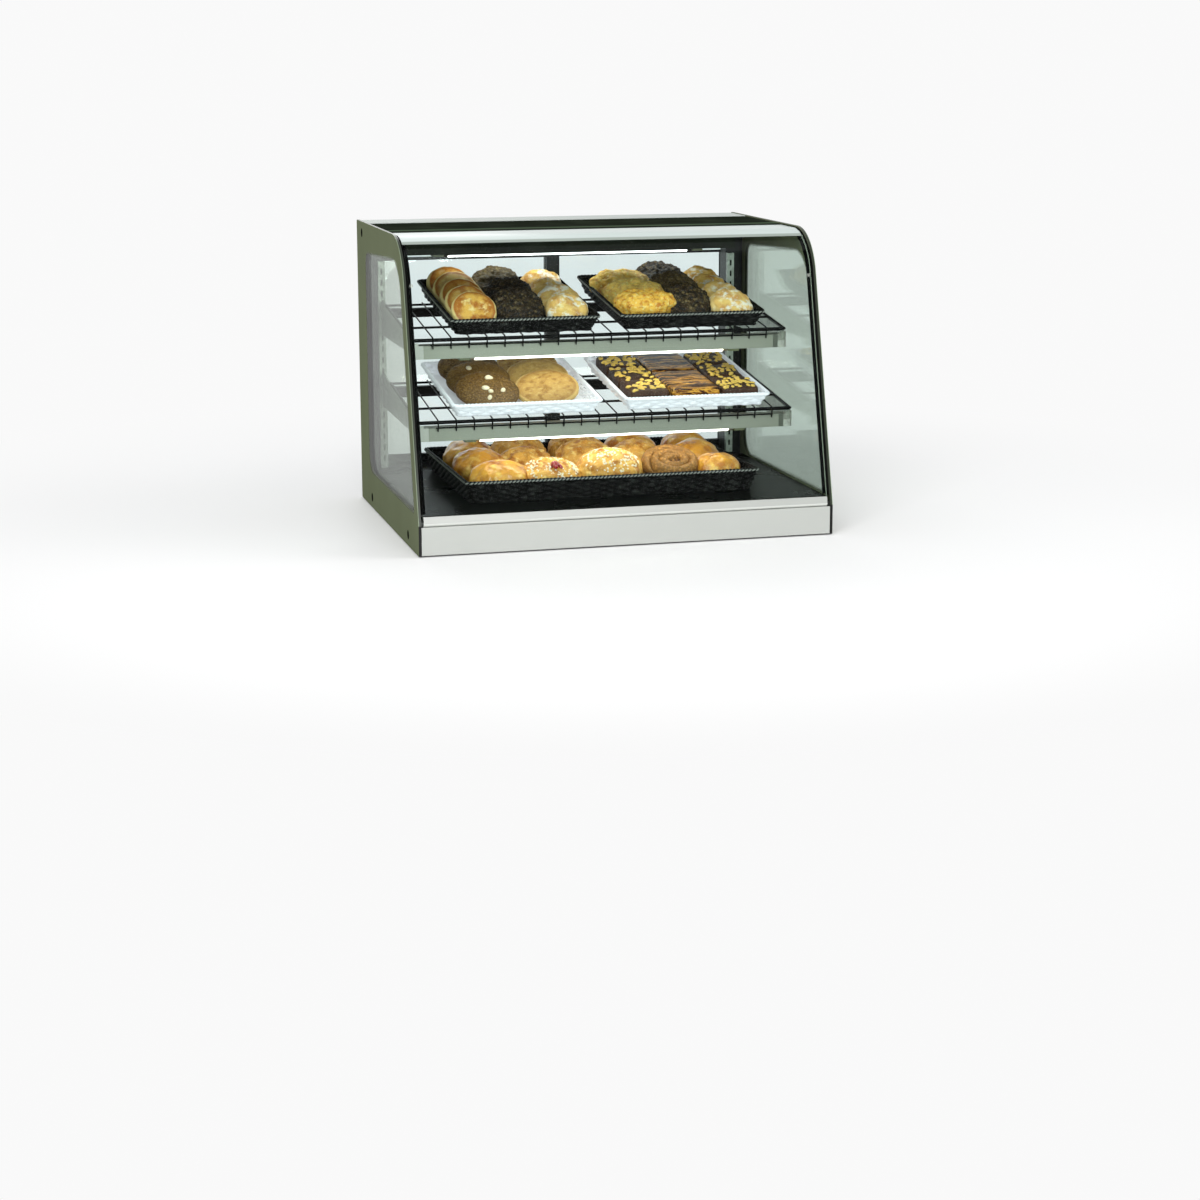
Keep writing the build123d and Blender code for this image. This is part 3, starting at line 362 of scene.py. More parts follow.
def door_glass_finish():
    """Clear glass with a little dust."""
    paint = Paint("door_glass")
    haze = paint.noise(6.0, 3.0).step(0.35, 0.75)
    dust = paint.solid(rgb(214, 220, 214), 0.5 + haze * 0.1)
    return paint.done(paint.blend(haze * 0.035, paint.clear((0.955, 0.98, 0.982), shine=0.5), dust))


def enamel_finish(name, base, rough=0.32, coat=0.25, specular=0.5):
    """Sprayed enamel: faint orange peel and fine speckle."""
    paint = Paint(name)
    cloud = paint.noise(7.0, 3.0)
    speck = paint.noise(900.0, 2.0)
    shade = paint.mix(cloud * 0.6 + speck * 0.15, base, shaded(base, 0.90))
    height = paint.noise(420.0, 2.0)
    return paint.done(paint.solid(shade, rough + cloud * 0.06, paint.bump(height, 0.02 * MM),
                                  coat=coat, coat_rough=0.12, specular=specular))


def rail_finish(base):
    """The glass rail's enamel, with painted light on its rounded foot: paler and faintly glowing."""
    paint = Paint("rail_enamel")
    # Painted light: the rounded foot is paler and glows faintly, over the shade of the gap above the
    # fascia.
    foot = paint.axes("Z")[0].beyond(RAIL_FOOT, 0.0005, 1.0, 0.0)
    cloud = paint.noise(7.0, 3.0)
    shade = paint.mix(cloud * 0.6, shaded(base, 0.90), shaded(base, 0.84))
    shade = paint.mix(foot, shade, shaded(base, 1.25))
    glow = paint.mix(foot, (0, 0, 0), (0.95, 0.96, 0.93))
    return paint.done(paint.solid(shade, 0.30 + cloud * 0.06,
                                  paint.bump(paint.noise(420.0, 2.0), 0.02 * MM), coat=0.1,
                                  coat_rough=0.12, glow=glow, glow_strength=0.10))


def dark_finish(name, base, rough, grain, coat=0.0, specular=0.18):
    """Dark enamel, plastic or rubber with a fine texture and paler wear."""
    paint = Paint(name)
    cloud = paint.noise(14.0, 4.0)
    speck = paint.noise(700.0, 2.0)
    shade = paint.mix(cloud.step(0.35, 0.8), base, shaded(base, 1.7, 0.004))
    return paint.done(paint.solid(shade, (rough - 0.04) + cloud * 0.08,
                                  paint.bump(speck, grain), coat=coat, specular=specular))


def top_finish():
    """Matt dark top sheet with a paler line across its middle."""
    paint = Paint("top_enamel")
    y = paint.axes("Y")[0]
    cloud = paint.noise(14.0, 4.0)
    line = y.beyond(TOP_LINE_FRONT, 0.003) * y.beyond(TOP_LINE_REAR, 0.003, 1.0, 0.0)
    dark = paint.mix(cloud.step(0.35, 0.8), rgb(32, 37, 29), rgb(44, 50, 40))
    shade = paint.mix(line, dark, rgb(74, 88, 70))
    return paint.done(paint.solid(shade, 0.56 + cloud * 0.08,
                                  paint.bump(paint.noise(700.0, 2.0), 0.02 * MM), specular=0.0))


def brushed_finish(base):
    """Metal brushed along the case's width."""
    paint = Paint("brushed_rail")
    lines = paint.noise(1.0, 3.0, 0.6, where=paint.stretched(3.0, 900.0, 900.0))
    cloud = paint.noise(6.0, 2.0)
    shade = paint.mix(lines, shaded(base, 1.10), shaded(base, 0.80))
    return paint.done(paint.solid(shade, 0.38 + lines * 0.12 + cloud * 0.05,
                                  paint.bump(lines, 0.02 * MM), metal=0.35))


def zinc_finish():
    paint = Paint("zinc_plate")
    spangle = paint.cells(160.0, out=1)
    grey = paint.node("SeparateColor", {0: spangle})
    cloud = paint.noise(30.0, 3.0)
    shade = paint.mix(grey * 0.5 + cloud * 0.3, rgb(166, 174, 164), rgb(116, 124, 114))
    return paint.done(paint.solid(shade, 0.34 + grey * 0.12, metal=0.6))


def wire_finish():
    paint = Paint("coated_wire")
    cloud = paint.noise(40.0, 3.0)
    return paint.done(paint.solid(
        paint.mix(cloud, rgb(6, 6, 6), rgb(14, 14, 13)), 0.30 + cloud * 0.12,
        paint.bump(paint.noise(600.0), 0.03 * MM), specular=0.08))


def deck_finish():
    """Glossy dark laminate with a fine pebble."""
    paint = Paint("deck_laminate")
    pebble = paint.noise(520.0, 2.0)
    cloud = paint.noise(12.0, 4.0)
    return paint.done(paint.solid(
        paint.mix(pebble, rgb(8, 9, 8), rgb(18, 20, 17)), 0.24 + cloud * 0.08,
        paint.bump(pebble, 0.03 * MM), specular=0.01))


def lamp_finish():
    """A lit tube with metal end caps."""
    paint = Paint("lit_tube")
    along = abs(paint.axes("X")[0])
    cap = along.beyond(TUBE_CAP, 0.0002)
    dim = along.step(0.255, 0.282, 1.0, 0.55)
    glow = paint.mix(cap, paint.mix(dim, rgb(250, 222, 176), (1.0, 0.965, 0.88)), (0, 0, 0))
    grain = paint.noise(300.0)
    shade = paint.mix(cap, rgb(246, 246, 240), rgb(176, 178, 176))
    return paint.done(paint.solid(shade, 0.35 + grain * 0.05, metal=cap * 0.9, glow=glow,
                                  glow_strength=6.5))


def coated_lamp_finish():
    """A lit tube whose upper side is coated dark."""
    paint = Paint("coated_tube")
    x, z = paint.axes("XZ")
    dark = z.beyond(COATING_FOOT, 0.0004).most(abs(x).beyond(TUBE_CAP, 0.0002))
    grain = paint.noise(300.0)
    shade = paint.mix(dark, rgb(246, 246, 240), rgb(36, 40, 32))
    glow = paint.mix(dark, (0.95, 0.98, 0.97), (0, 0, 0))
    return paint.done(paint.solid(shade, 0.5 + grain * 0.05, glow=glow, glow_strength=8.0,
                                  specular=0.03))


def header_finish():
    """Dark header with a pale, faintly glowing strip along the lower edge of its inner side, painted
    light.
    """
    paint = Paint("header_enamel")
    y, z = paint.axes("YZ")
    cloud = paint.noise(14.0, 4.0)
    # Painted light: low on its inner side the header is pale and glows faintly; above and behind that
    # it is dark.
    upper = z.beyond(LIT_STRIP_TOP, 0.0005).most(y.beyond(LIT_STRIP_REAR, 0.0005))
    dark = paint.mix(cloud, rgb(34, 38, 31), rgb(42, 46, 38))
    shade = paint.mix(upper, rgb(226, 236, 235), dark)
    glow = paint.mix(upper, (0.80, 0.86, 0.85), (0, 0, 0))
    return paint.done(paint.solid(shade, 0.5 + cloud * 0.1, glow=glow, glow_strength=0.6,
                                  specular=0.03))


def clear_plastic_finish():
    paint = Paint("clear_plastic")
    cloud = paint.noise(60.0, 2.0)
    body = paint.solid(rgb(214, 218, 208), 0.14 + cloud * 0.08)
    return paint.done(paint.blend(0.10 + cloud * 0.10, paint.clear((0.93, 0.94, 0.91), 0.05), body))


def end_cap_finish():
    """Moulded block towards the lamp, with a clear cap outside it on the right; the right blocks are
    painted darker as shade, the left ones pale.
    """
    paint = Paint("rail_end_plastic")
    x = paint.axes("X")[0]
    outer = abs(x).beyond(CLEAR_CAP, 0.0002)
    cloud = paint.noise(60.0, 2.0)
    milky = paint.solid(rgb(206, 208, 196), 0.14 + cloud * 0.08)
    clear = paint.blend(0.14 + cloud * 0.12, paint.clear((0.93, 0.94, 0.91), 0.05), milky)
    # Painted shade: the blocks on the right are darker than the pale ones on the left.
    right = x.beyond(0.0, 0.001)
    shadowed = paint.mix(cloud, rgb(92, 96, 84), rgb(70, 74, 64))
    dark = paint.solid(paint.mix(right, rgb(176, 177, 166), shadowed), 0.30 + cloud * 0.1)
    return paint.done(paint.blend(outer * right, dark, clear))


def plastic_finish(name, base, rough=0.42):
    paint = Paint(name)
    cloud = paint.noise(30.0, 3.0)
    return paint.done(paint.solid(
        paint.mix(cloud, base, shaded(base, 0.75)), rough + cloud * 0.1,
        paint.bump(paint.noise(900.0), 0.02 * MM)))


def give(finish, *nodes):
    """Put one finish on CAD nodes."""
    for node in nodes:
        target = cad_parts[node]
        target.data.materials.clear()
        target.data.materials.append(finish)


# ---------------------------------------------------------------- modelling tools
def settle():
    """Back to object mode with nothing selected."""
    if bpy.context.object and bpy.context.object.mode != "OBJECT":
        bpy.ops.object.mode_set(mode="OBJECT")
    bpy.ops.object.select_all(action="DESELECT")


def pick(piece):
    """Select one piece alone."""
    settle()
    piece.select_set(True)
    bpy.context.view_layer.objects.active = piece


def apply_place(piece):
    pick(piece)
    bpy.ops.object.transform_apply(location=True, rotation=True, scale=True)


def lumpy(piece, *layers):
    """Raise cloudy lumps on a mesh; each layer is a lump size and a height."""
    bpy.context.view_layer.objects.active = piece
    for size, height in layers:
        clouds = bpy.data.textures.new("lumps", "CLOUDS")
        clouds.noise_scale = size
        clouds.noise_depth = 2
        raised = piece.modifiers.new("lumps", "DISPLACE")
        raised.texture = clouds
        raised.strength = height
        raised.mid_level = 0.5
        raised.texture_coords = "LOCAL"
        bpy.ops.object.modifier_apply(modifier=raised.name)


def join(pieces, name):
    """One object from several."""
    settle()
    for piece in pieces:
        piece.select_set(True)
    bpy.context.view_layer.objects.active = pieces[0]
    if len(pieces) > 1:
        bpy.ops.object.join()
    joined = bpy.context.object
    joined.name = joined.data.name = name
    return joined


def weld():
    """Join the rolled-up sheet that was just added along its seams, with its faces outward."""
    bpy.ops.object.mode_set(mode="EDIT")
    bpy.ops.mesh.select_all(action="SELECT")
    bpy.ops.mesh.remove_doubles(threshold=0.00002)
    bpy.ops.mesh.normals_make_consistent(inside=False)
    bpy.ops.object.mode_set(mode="OBJECT")


def smooth(piece, angle=None):
    pick(piece)
    if angle is None:
        bpy.ops.object.shade_smooth()
    else:
        bpy.ops.object.shade_smooth_by_angle(angle=math.radians(angle))


def hand_over(piece, finish, node):
    """Give a finished piece its material and its body, and hide the CAD node it stands for."""
    piece.data.materials.clear()
    piece.data.materials.append(finish)
    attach(piece, "case")
    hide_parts(node)


class Shelf:
    """A sloping surface that baskets stand on."""

    def __init__(self, y, z, tilt):
        self.turn = Euler((math.radians(tilt), 0, 0)).to_matrix().to_4x4()
        self.matrix = Matrix.Translation((0, y, z)) @ self.turn

    def at(self, x, along, above):
        return self.matrix @ Vector((x, along, above))


RACK_TILT = 7.5               # degrees that the racks slope down to the front
TO_WIRE_TOP_Y, TO_WIRE_TOP_Z = -0.00073, 0.00555
DECK_TOP = 0.0815
UPPER = Shelf(-0.1266 + TO_WIRE_TOP_Y, 0.427 + TO_WIRE_TOP_Z, RACK_TILT)
MIDDLE = Shelf(-0.1716 + TO_WIRE_TOP_Y, 0.255 + TO_WIRE_TOP_Z, RACK_TILT)
DECK = Shelf(-0.2356, DECK_TOP, 0.0)
FLOOR_TOP = 4.5 * MM          # a basket's floor above its shelf
SINK = 2.0 * MM               # how far a bread's uneven underside goes into the floor


def lump(shelf, x, along, above, radii, lean=0.0, yaw=0.0, roll=0.0, flat=1.0, detail=5,
         tone=0.5, layers=((0.030, 0.010), (0.009, 0.003))):
    """A rounded piece of bread on a shelf, leaning back by an angle in degrees.

    Its surface carries its tone and each point's distance from its middle.
    """
    settle()
    bpy.ops.mesh.primitive_ico_sphere_add(subdivisions=detail, radius=1.0)
    piece = bpy.context.object
    rim = piece.data.attributes.new("rim", "FLOAT", "POINT")
    bake = piece.data.attributes.new("tone", "FLOAT", "POINT")
    for index, vertex in enumerate(piece.data.vertices):
        height, out = vertex.co.z, math.hypot(vertex.co.x, vertex.co.y)
        rim.data[index].value = out if height > 0 else 1.0
        bake.data[index].value = tone
        swell = max(out, 0.001) ** (flat - 1)
        vertex.co = (vertex.co.x * swell, vertex.co.y * swell,
                     math.copysign(abs(height) ** flat, height))
    turn = Euler((math.radians(lean), math.radians(roll), math.radians(yaw)), "XYZ")
    piece.matrix_world = (Matrix.Translation(shelf.at(x, along, above)) @ shelf.turn
                          @ turn.to_matrix().to_4x4() @ Matrix.Diagonal((*radii, 1.0)))
    apply_place(piece)
    lumpy(piece, *layers)
    smooth(piece)
    return piece


# ---------------------------------------------------------------- baskets
def basket_loop(width, length_, radius, count):
    """Points and outward directions around a rounded rectangle, evenly spaced."""
    straight_x, straight_y = width - 2 * radius, length_ - 2 * radius
    arc = math.pi / 2 * radius
    total = 2 * (straight_x + straight_y) + 4 * arc
    places = []
    for index in range(count):
        run = index * total / count
        x, y, heading = -straight_x / 2, -length_ / 2, 0.0
        for span in (straight_x, straight_y, straight_x, straight_y):
            if run <= span:
                x += run * math.cos(heading)
                y += run * math.sin(heading)
                out = heading - math.pi / 2
                break
            run -= span
            x += span * math.cos(heading)
            y += span * math.sin(heading)
            centre = (x - radius * math.sin(heading), y + radius * math.cos(heading))
            if run <= arc:
                out = heading - math.pi / 2 + run / radius
                x = centre[0] + radius * math.cos(out)
                y = centre[1] + radius * math.sin(out)
                break
            run -= arc
            heading += math.pi / 2
            x = centre[0] + radius * math.sin(heading)
            y = centre[1] - radius * math.cos(heading)
        places.append((Vector((x, y, 0)), Vector((math.cos(out), math.sin(out), 0))))
    return places


def ring(places, sides, section, highlight=1.0):
    """A closed strand that follows places; section gives each corner's offset out and up.

    Its surface carries a tone that is highest where the strand stands out most; the cane finish
    paints highlights by it.
    """
    settle()
    steps = len(places)
    bpy.ops.mesh.primitive_grid_add(x_subdivisions=steps, y_subdivisions=sides, size=1)
    strand = bpy.context.object
    tone = strand.data.attributes.new("tone", "FLOAT", "POINT")
    spots = [(round((vertex.co.x + 0.5) * steps) % steps, 2 * math.pi * (vertex.co.y + 0.5))
             for vertex in strand.data.vertices]
    offsets = [section(step, angle) for step, angle in spots]
    least = min(away for away, up in offsets)
    most = max(away for away, up in offsets)
    for index, vertex in enumerate(strand.data.vertices):
        spot, out = places[spots[index][0]]
        away, up = offsets[index]
        vertex.co = spot + out * away + Vector((0, 0, up))
        tone.data[index].value = highlight * (away - least) / (most - least)
    weld()
    return strand


def weave_basket(name, shelf, x, front, size, sizes, finish):
    """A flared tray of woven cane with a plaited rim."""
    width, length_, height = size
    depth, tall = sizes.cane_depth, sizes.cane
    perimeter = 2 * (width + length_)
    stakes = 2 * round(perimeter / sizes.stake_pitch / 2)
    per_stake = 4
    rows = max(3, round((height - 5 * MM) / (tall * 0.80)))
    strands = []
    rim_height = height - 3.0 * MM

    def loop_at(level, count, inset=0.0):
        shrink = BASKET_FLARE * (1 - level / height) + inset
        places = basket_loop(width - 2 * shrink, length_ - 2 * shrink,
                             max(BASKET_CORNER - shrink, 8 * MM), count)
        return [(spot + Vector((0, 0, level)), out) for spot, out in places]

    wobble = random.Random(name)
    for row in range(rows):
        level = tall / 2 + row * (rim_height - tall) / (rows - 1)
        sign = 1 if row % 2 else -1
        shifts = [wobble.uniform(-0.45, 0.45) * MM for _ in range(stakes + 1)]

        def woven(step, angle, sign=sign, shifts=shifts):
            along = step / per_stake
            swing = math.cos(math.pi * along) * sign
            lift = shifts[int(along) % stakes]
            return (swing * depth * 0.75 + math.cos(angle) * depth / 2,
                    math.sin(angle) * tall * 0.56 + lift)

        strands.append(ring(loop_at(level, stakes * per_stake, depth * 1.4), 8, woven, 0.85))

    # upright canes between the strands
    uprights = zip(loop_at(0.0, stakes, depth * 1.4), loop_at(rim_height, stakes, depth * 1.4))
    settle()
    bpy.ops.mesh.primitive_cylinder_add(vertices=6, radius=1.0, depth=1.0)
    model = bpy.context.object
    model.data.transform(Matrix.Translation((0, 0, 0.5)))
    for low, high in uprights:
        stake = model.copy()
        stake.data = model.data.copy()
        bpy.context.collection.objects.link(stake)
        rise = high[0] - low[0]
        stake.data.transform(Matrix.Translation(low[0])
                             @ rise.to_track_quat("Z", "X").to_matrix().to_4x4()
                             @ Matrix.Diagonal((1.3 * MM, 1.3 * MM, rise.length, 1.0)))
        strands.append(stake)
    bpy.data.objects.remove(model)

    # plaited rim of three strands
    rim_steps = stakes * 6
    twists = round(perimeter / (26.0 * MM))
    for strand in range(3):

        def plait(step, angle, strand=strand):
            phase = 2 * math.pi * (twists * step / rim_steps + strand / 3)
            return (math.cos(phase) * 2.5 * MM + math.cos(angle) * 2.7 * MM,
                    math.sin(phase) * 2.1 * MM + math.sin(angle) * 2.5 * MM)

        strands.append(ring(loop_at(rim_height, rim_steps, depth * 1.2), 6, plait))

    # woven floor
    settle()
    cells_x, cells_y = 30, 36
    bpy.ops.mesh.primitive_grid_add(x_subdivisions=cells_x * 2, y_subdivisions=cells_y * 2, size=1)
    floor = bpy.context.object
    less = 2 * BASKET_FLARE + 4 * MM
    for vertex in floor.data.vertices:
        u, v = (vertex.co.x + 0.5) * cells_x, (vertex.co.y + 0.5) * cells_y
        weave = math.sin(math.pi * u) * math.sin(math.pi * v)
        vertex.co = Vector((vertex.co.x * (width - less), vertex.co.y * (length_ - less),
                            2.6 * MM + weave * 0.8 * MM))
    wall = floor.modifiers.new("wall", "SOLIDIFY")
    wall.thickness = 1.6 * MM
    wall.offset = 0.0
    bpy.context.view_layer.objects.active = floor
    bpy.ops.object.modifier_apply(modifier=wall.name)
    strands.append(floor)

    strands.sort(key=lambda strand: "tone" not in strand.data.attributes)
    basket = join(strands, name)
    basket.data.transform(shelf.matrix @ Matrix.Translation((x, front + length_ / 2, 0)))
    smooth(basket, 50)
    hand_over(basket, finish, name)


def cane_finish(name, base, pale, shine, glow=0.0):
    """Woven cane with painted highlights where a strand stands out, and with glow, painted light that
    makes it glow in its own colour.
    """
    paint = Paint(name)
    streak = paint.noise(1.0, 4.0, 0.6, where=paint.stretched(260.0, 260.0, 1500.0))
    patch = paint.noise(60.0, 3.0)
    highlight = paint.baked("tone")
    # Painted highlight: paler where the strand stands out most.
    shade = paint.mix(highlight.step(0.80, 1.0) * (0.70 + streak * 0.6), base, pale)
    shade = paint.mix(patch.step(0.5, 0.8) * 0.08, shade, pale)
    return paint.done(paint.solid(shade, 0.34 + streak * 0.22, paint.bump(streak, 0.12 * MM),
                                  specular=shine, glow=shade, glow_strength=glow))


# ---------------------------------------------------------------- bread finishes
def crust_finish(name, base, dark, pale, grain=0.5, gloss=0.0, flour=0.0, patch=45.0,
                 rough=0.48, rim=0.0):
    """Baked crust: brown patches, paler swellings, pores and an optional dusting."""
    paint = Paint(name)
    patches = paint.noise(patch, 4.0, 0.55)
    fine = paint.noise(260.0, 4.0, 0.6)
    pores = paint.cells(330.0).step(0.05, 0.45)
    shade = paint.mix(patches.step(0.42, 0.68), base, dark)
    shade = paint.mix(paint.noise(patch * 1.7, 3.0).step(0.52, 0.74), shade, pale)
    shade = paint.mix(fine.step(0.55, 0.8) * 0.35, shade, dark)
    shade = paint.mix(paint.baked("tone").step(0.5, 1.0, 0.0, 0.6), shade, dark)
    shade = paint.mix(paint.baked("tone").step(0.0, 0.5, 0.6, 0.0), shade, pale)
    if rim:
        out = paint.baked("rim") + patches * 0.16 - 0.08
        shade = paint.mix(out.step(0.45, 0.80) * rim, shade, dark)
        shade = paint.mix(out.step(0.80, 0.90) * rim, shade, pale)
    dusted = None
    if flour:
        dusted = paint.noise(38.0, 5.0, 0.7).step(0.60 - flour * 0.22, 0.66 - flour * 0.10)
        shade = paint.mix(dusted * 0.92, shade, rgb(250, 244, 228))
    height = fine * 0.7 + pores * 0.3 + patches * 1.4
    roughness = rough + fine * 0.15
    if dusted:
        roughness = roughness + dusted * 0.25
    return paint.done(paint.solid(shade, roughness, paint.bump(height, grain * 2.0 * MM),
                                  coat=gloss, coat_rough=0.22, specular=0.3))


def crumbly_finish(name, base, pale, dark, scale=150.0, depth=1.6 * MM):
    """Coarse broken crust, as on chocolate rounds and cookies."""
    paint = Paint(name)
    crumbs = paint.cells(scale, out=0)
    tone = paint.node("SeparateColor", {0: paint.cells(scale, out=1)})
    cloud = paint.noise(30.0, 4.0, 0.6)
    fine = paint.noise(420.0, 4.0)
    shade = paint.mix(tone.step(0.45, 1.0), base, pale)
    shade = paint.mix(crumbs.step(0.30, 0.75), shade, dark)
    shade = paint.mix(cloud.step(0.5, 0.75) * 0.5, shade, pale)
    shade = paint.mix(paint.baked("tone").step(0.5, 1.0, 0.0, 0.5), shade, dark)
    shade = paint.mix(paint.baked("tone").step(0.0, 0.5, 0.5, 0.0), shade, pale)
    shade = paint.mix(paint.baked("rim").step(0.80, 1.0) * 0.5, shade, dark)
    height = (1 - crumbs) + fine * 0.5
    return paint.done(paint.solid(shade, 0.42 + fine * 0.25, paint.bump(height, depth),
                                  specular=0.3))


def icing_finish(name, base, rough=0.3, coat=0.4):
    paint = Paint(name)
    fine = paint.noise(300.0, 3.0)
    cloud = paint.noise(60.0, 3.0)
    return paint.done(paint.solid(paint.mix(cloud, base, shaded(base, 0.8)),
                                  rough + fine * 0.1, paint.bump(fine, 0.3 * MM), coat=coat))


def swirl_finish():
    """Caramel and chocolate drawn into streaks along a bar."""
    paint = Paint("caramel_swirl")
    drawn = paint.noise(1.0, 4.0, 0.6, where=paint.stretched(9.0, 60.0, 60.0), twist=1.4)
    fine = paint.noise(1.0, 3.0, 0.6, where=paint.stretched(24.0, 260.0, 260.0), twist=0.5)
    shade = paint.node("ValToRGB", {0: drawn + fine * 0.25 - 0.10}, stops=[
        (0.36, rgb(34, 16, 5)), (0.43, rgb(140, 86, 26)), (0.49, rgb(232, 172, 66)),
        (0.53, rgb(112, 62, 20)), (0.60, rgb(36, 18, 7))])
    return paint.done(paint.solid(shade, 0.28 + fine * 0.15, paint.bump(drawn + fine, 1.2 * MM),
                                  coat=0.12, specular=0.15))


def scatter(place_on, count, radii, chance, detail=2):
    """Small pieces set at random on a surface that place_on describes."""
    settle()
    bpy.ops.mesh.primitive_ico_sphere_add(subdivisions=detail, radius=1.0)
    model = bpy.context.object
    bits = []
    for _ in range(count):
        spot, up = place_on(chance)
        bit = model.copy()
        bit.data = model.data.copy()
        bpy.context.collection.objects.link(bit)
        spin = Matrix.Rotation(chance.uniform(0, 2 * math.pi), 4, "Z")
        nod = Matrix.Rotation(chance.uniform(-0.5, 0.5), 4, "X")
        scale = [r * chance.uniform(0.75, 1.2) for r in radii]
        bit.data.transform(Matrix.Translation(spot)
                           @ up.to_track_quat("Z", "X").to_matrix().to_4x4()
                           @ spin @ nod @ Matrix.Diagonal((*scale, 1.0)))
        bits.append(bit)
    bpy.data.objects.remove(model)
    return bits


def over(shelf, x, along, above, radii, lean=0.0, reach=0.85, sink=0.0):
    """Random places on the upper side of a lump, for scatter."""
    turn = Euler((math.radians(lean), 0, 0)).to_matrix()

    def place_on(chance):
        angle = chance.uniform(0, 2 * math.pi)
        out = math.sqrt(chance.random()) * reach
        unit = Vector((out * math.cos(angle), out * math.sin(angle), math.sqrt(1 - out * out)))
        spot = Vector(unit[i] * (radii[i] - sink) for i in range(3))
        up = Vector(unit[i] / radii[i] for i in range(3)).normalized()
        centre = shelf.at(x, along, above)
        rotate = shelf.turn.to_3x3() @ turn
        return centre + rotate @ spot, rotate @ up

    return place_on


def tube(path, widths, sides=12):
    """A closed rounded rope of dough that follows a path; its ends taper shut."""
    settle()
    steps = len(path) - 1
    bpy.ops.mesh.primitive_grid_add(x_subdivisions=steps, y_subdivisions=sides, size=1)
    rope = bpy.context.object
    for vertex in rope.data.vertices:
        step = round((vertex.co.x + 0.5) * steps)
        angle = 2 * math.pi * (vertex.co.y + 0.5)
        ahead = path[min(step + 1, steps)] - path[max(step - 1, 0)]
        across = Vector((ahead.y, -ahead.x, 0)).normalized()
        around = across * math.cos(angle) + Vector((0, 0, math.sin(angle)))
        vertex.co = path[step] + around * widths[step]
    weld()
    return rope


def slab(shelf, x, along, above, size, turn=0.0, cuts=12, layers=((0.02, 0.004),)):
    """A cut bar of cake with soft edges."""
    settle()
    bpy.ops.mesh.primitive_cube_add(size=1.0)
    bar = bpy.context.object
    bar.scale = size
    bpy.ops.object.transform_apply(scale=True)
    bpy.ops.object.mode_set(mode="EDIT")
    bpy.ops.mesh.select_all(action="SELECT")
    bpy.ops.mesh.bevel(offset=min(size) * 0.22, segments=3, affect="EDGES")
    bpy.ops.mesh.select_all(action="SELECT")
    bpy.ops.mesh.subdivide(number_cuts=cuts)
    bpy.ops.object.mode_set(mode="OBJECT")
    bar.data.transform(shelf.matrix @ Matrix.Translation((x, along, above))
                       @ Matrix.Rotation(math.radians(turn), 4, "Z"))
    lumpy(bar, *layers)
    smooth(bar)
    return bar


def bar_top(shelf, x, along, above, size):
    """Random places on the flat top of a bar, for scatter."""

    def place_on(chance):
        u, v = chance.uniform(-0.46, 0.46), chance.uniform(-0.46, 0.46)
        spot = shelf.at(x + u * size[0], along + v * size[1], above + size[2] * 0.5)
        return spot, shelf.turn.to_3x3() @ Vector((0, 0, 1))

    return place_on


# ---------------------------------------------------------------- operators
class CasePiece:
    """What every operator of this file shares."""

    bl_options = {"REGISTER", "UNDO"}

    @property
    def colours(self):
        return bpy.context.scene.case_colours

    @property
    def sizes(self):
        return bpy.context.scene.case_sizes


class CASE_OT_glass(CasePiece, bpy.types.Operator):
    """Give the panes, the bent front glass and its bumpers their finishes"""

    bl_idname = "case.glass"
    bl_label = "Glass"

    def execute(self, context):
        give(side_pane_finish(self.colours), "left_side_pane", "right_side_pane")
        give(front_glass_finish(self.colours), "front_glass")
        give(door_glass_finish(), "left_door_pane", "right_door_pane")
        give(clear_plastic_finish(), "glass_bumpers")
        return {"FINISHED"}


class CASE_OT_metalwork(CasePiece, bpy.types.Operator):
    """Give the base, the top, the doors, the racks and the light rails their finishes"""

    bl_idname = "case.metalwork"
    bl_label = "Metalwork"

    def execute(self, context):
        enamel = tuple(self.colours.enamel)
        cover = tuple(self.colours.cover)
        give(enamel_finish("pale_enamel", enamel), "front_fascia")
        give(rail_finish(enamel), "front_glass_rail")
        give(enamel_finish("cover_enamel", cover, 0.45, coat=0.0, specular=0.1),
             "rear_top_cover")
        give(top_finish(), "top_panel", "top_trim", "canopy_light_rail")
        give(deck_finish(), "deck_panel")
        give(header_finish(), "door_header")
        give(dark_finish("black_enamel", rgb(16, 18, 16), 0.34, 0.03 * MM, 0.05),
             "base_pan", "deck_supports", "left_corner_post", "right_corner_post",
             "door_sill", "left_door_frame", "right_door_frame",
             "canopy_hangers", "ballast_box", "pivot_brackets")
        give(wire_finish(), "upper_wire_rack", "middle_wire_rack", "upper_rear_bar",
             "middle_rear_bar")
        give(brushed_finish(rgb(136, 139, 125)), "upper_light_rail", "middle_light_rail")
        give(zinc_finish(), "slotted_standards", "upper_shelf_brackets",
             "middle_shelf_brackets", "pivot_pins")
        return {"FINISHED"}


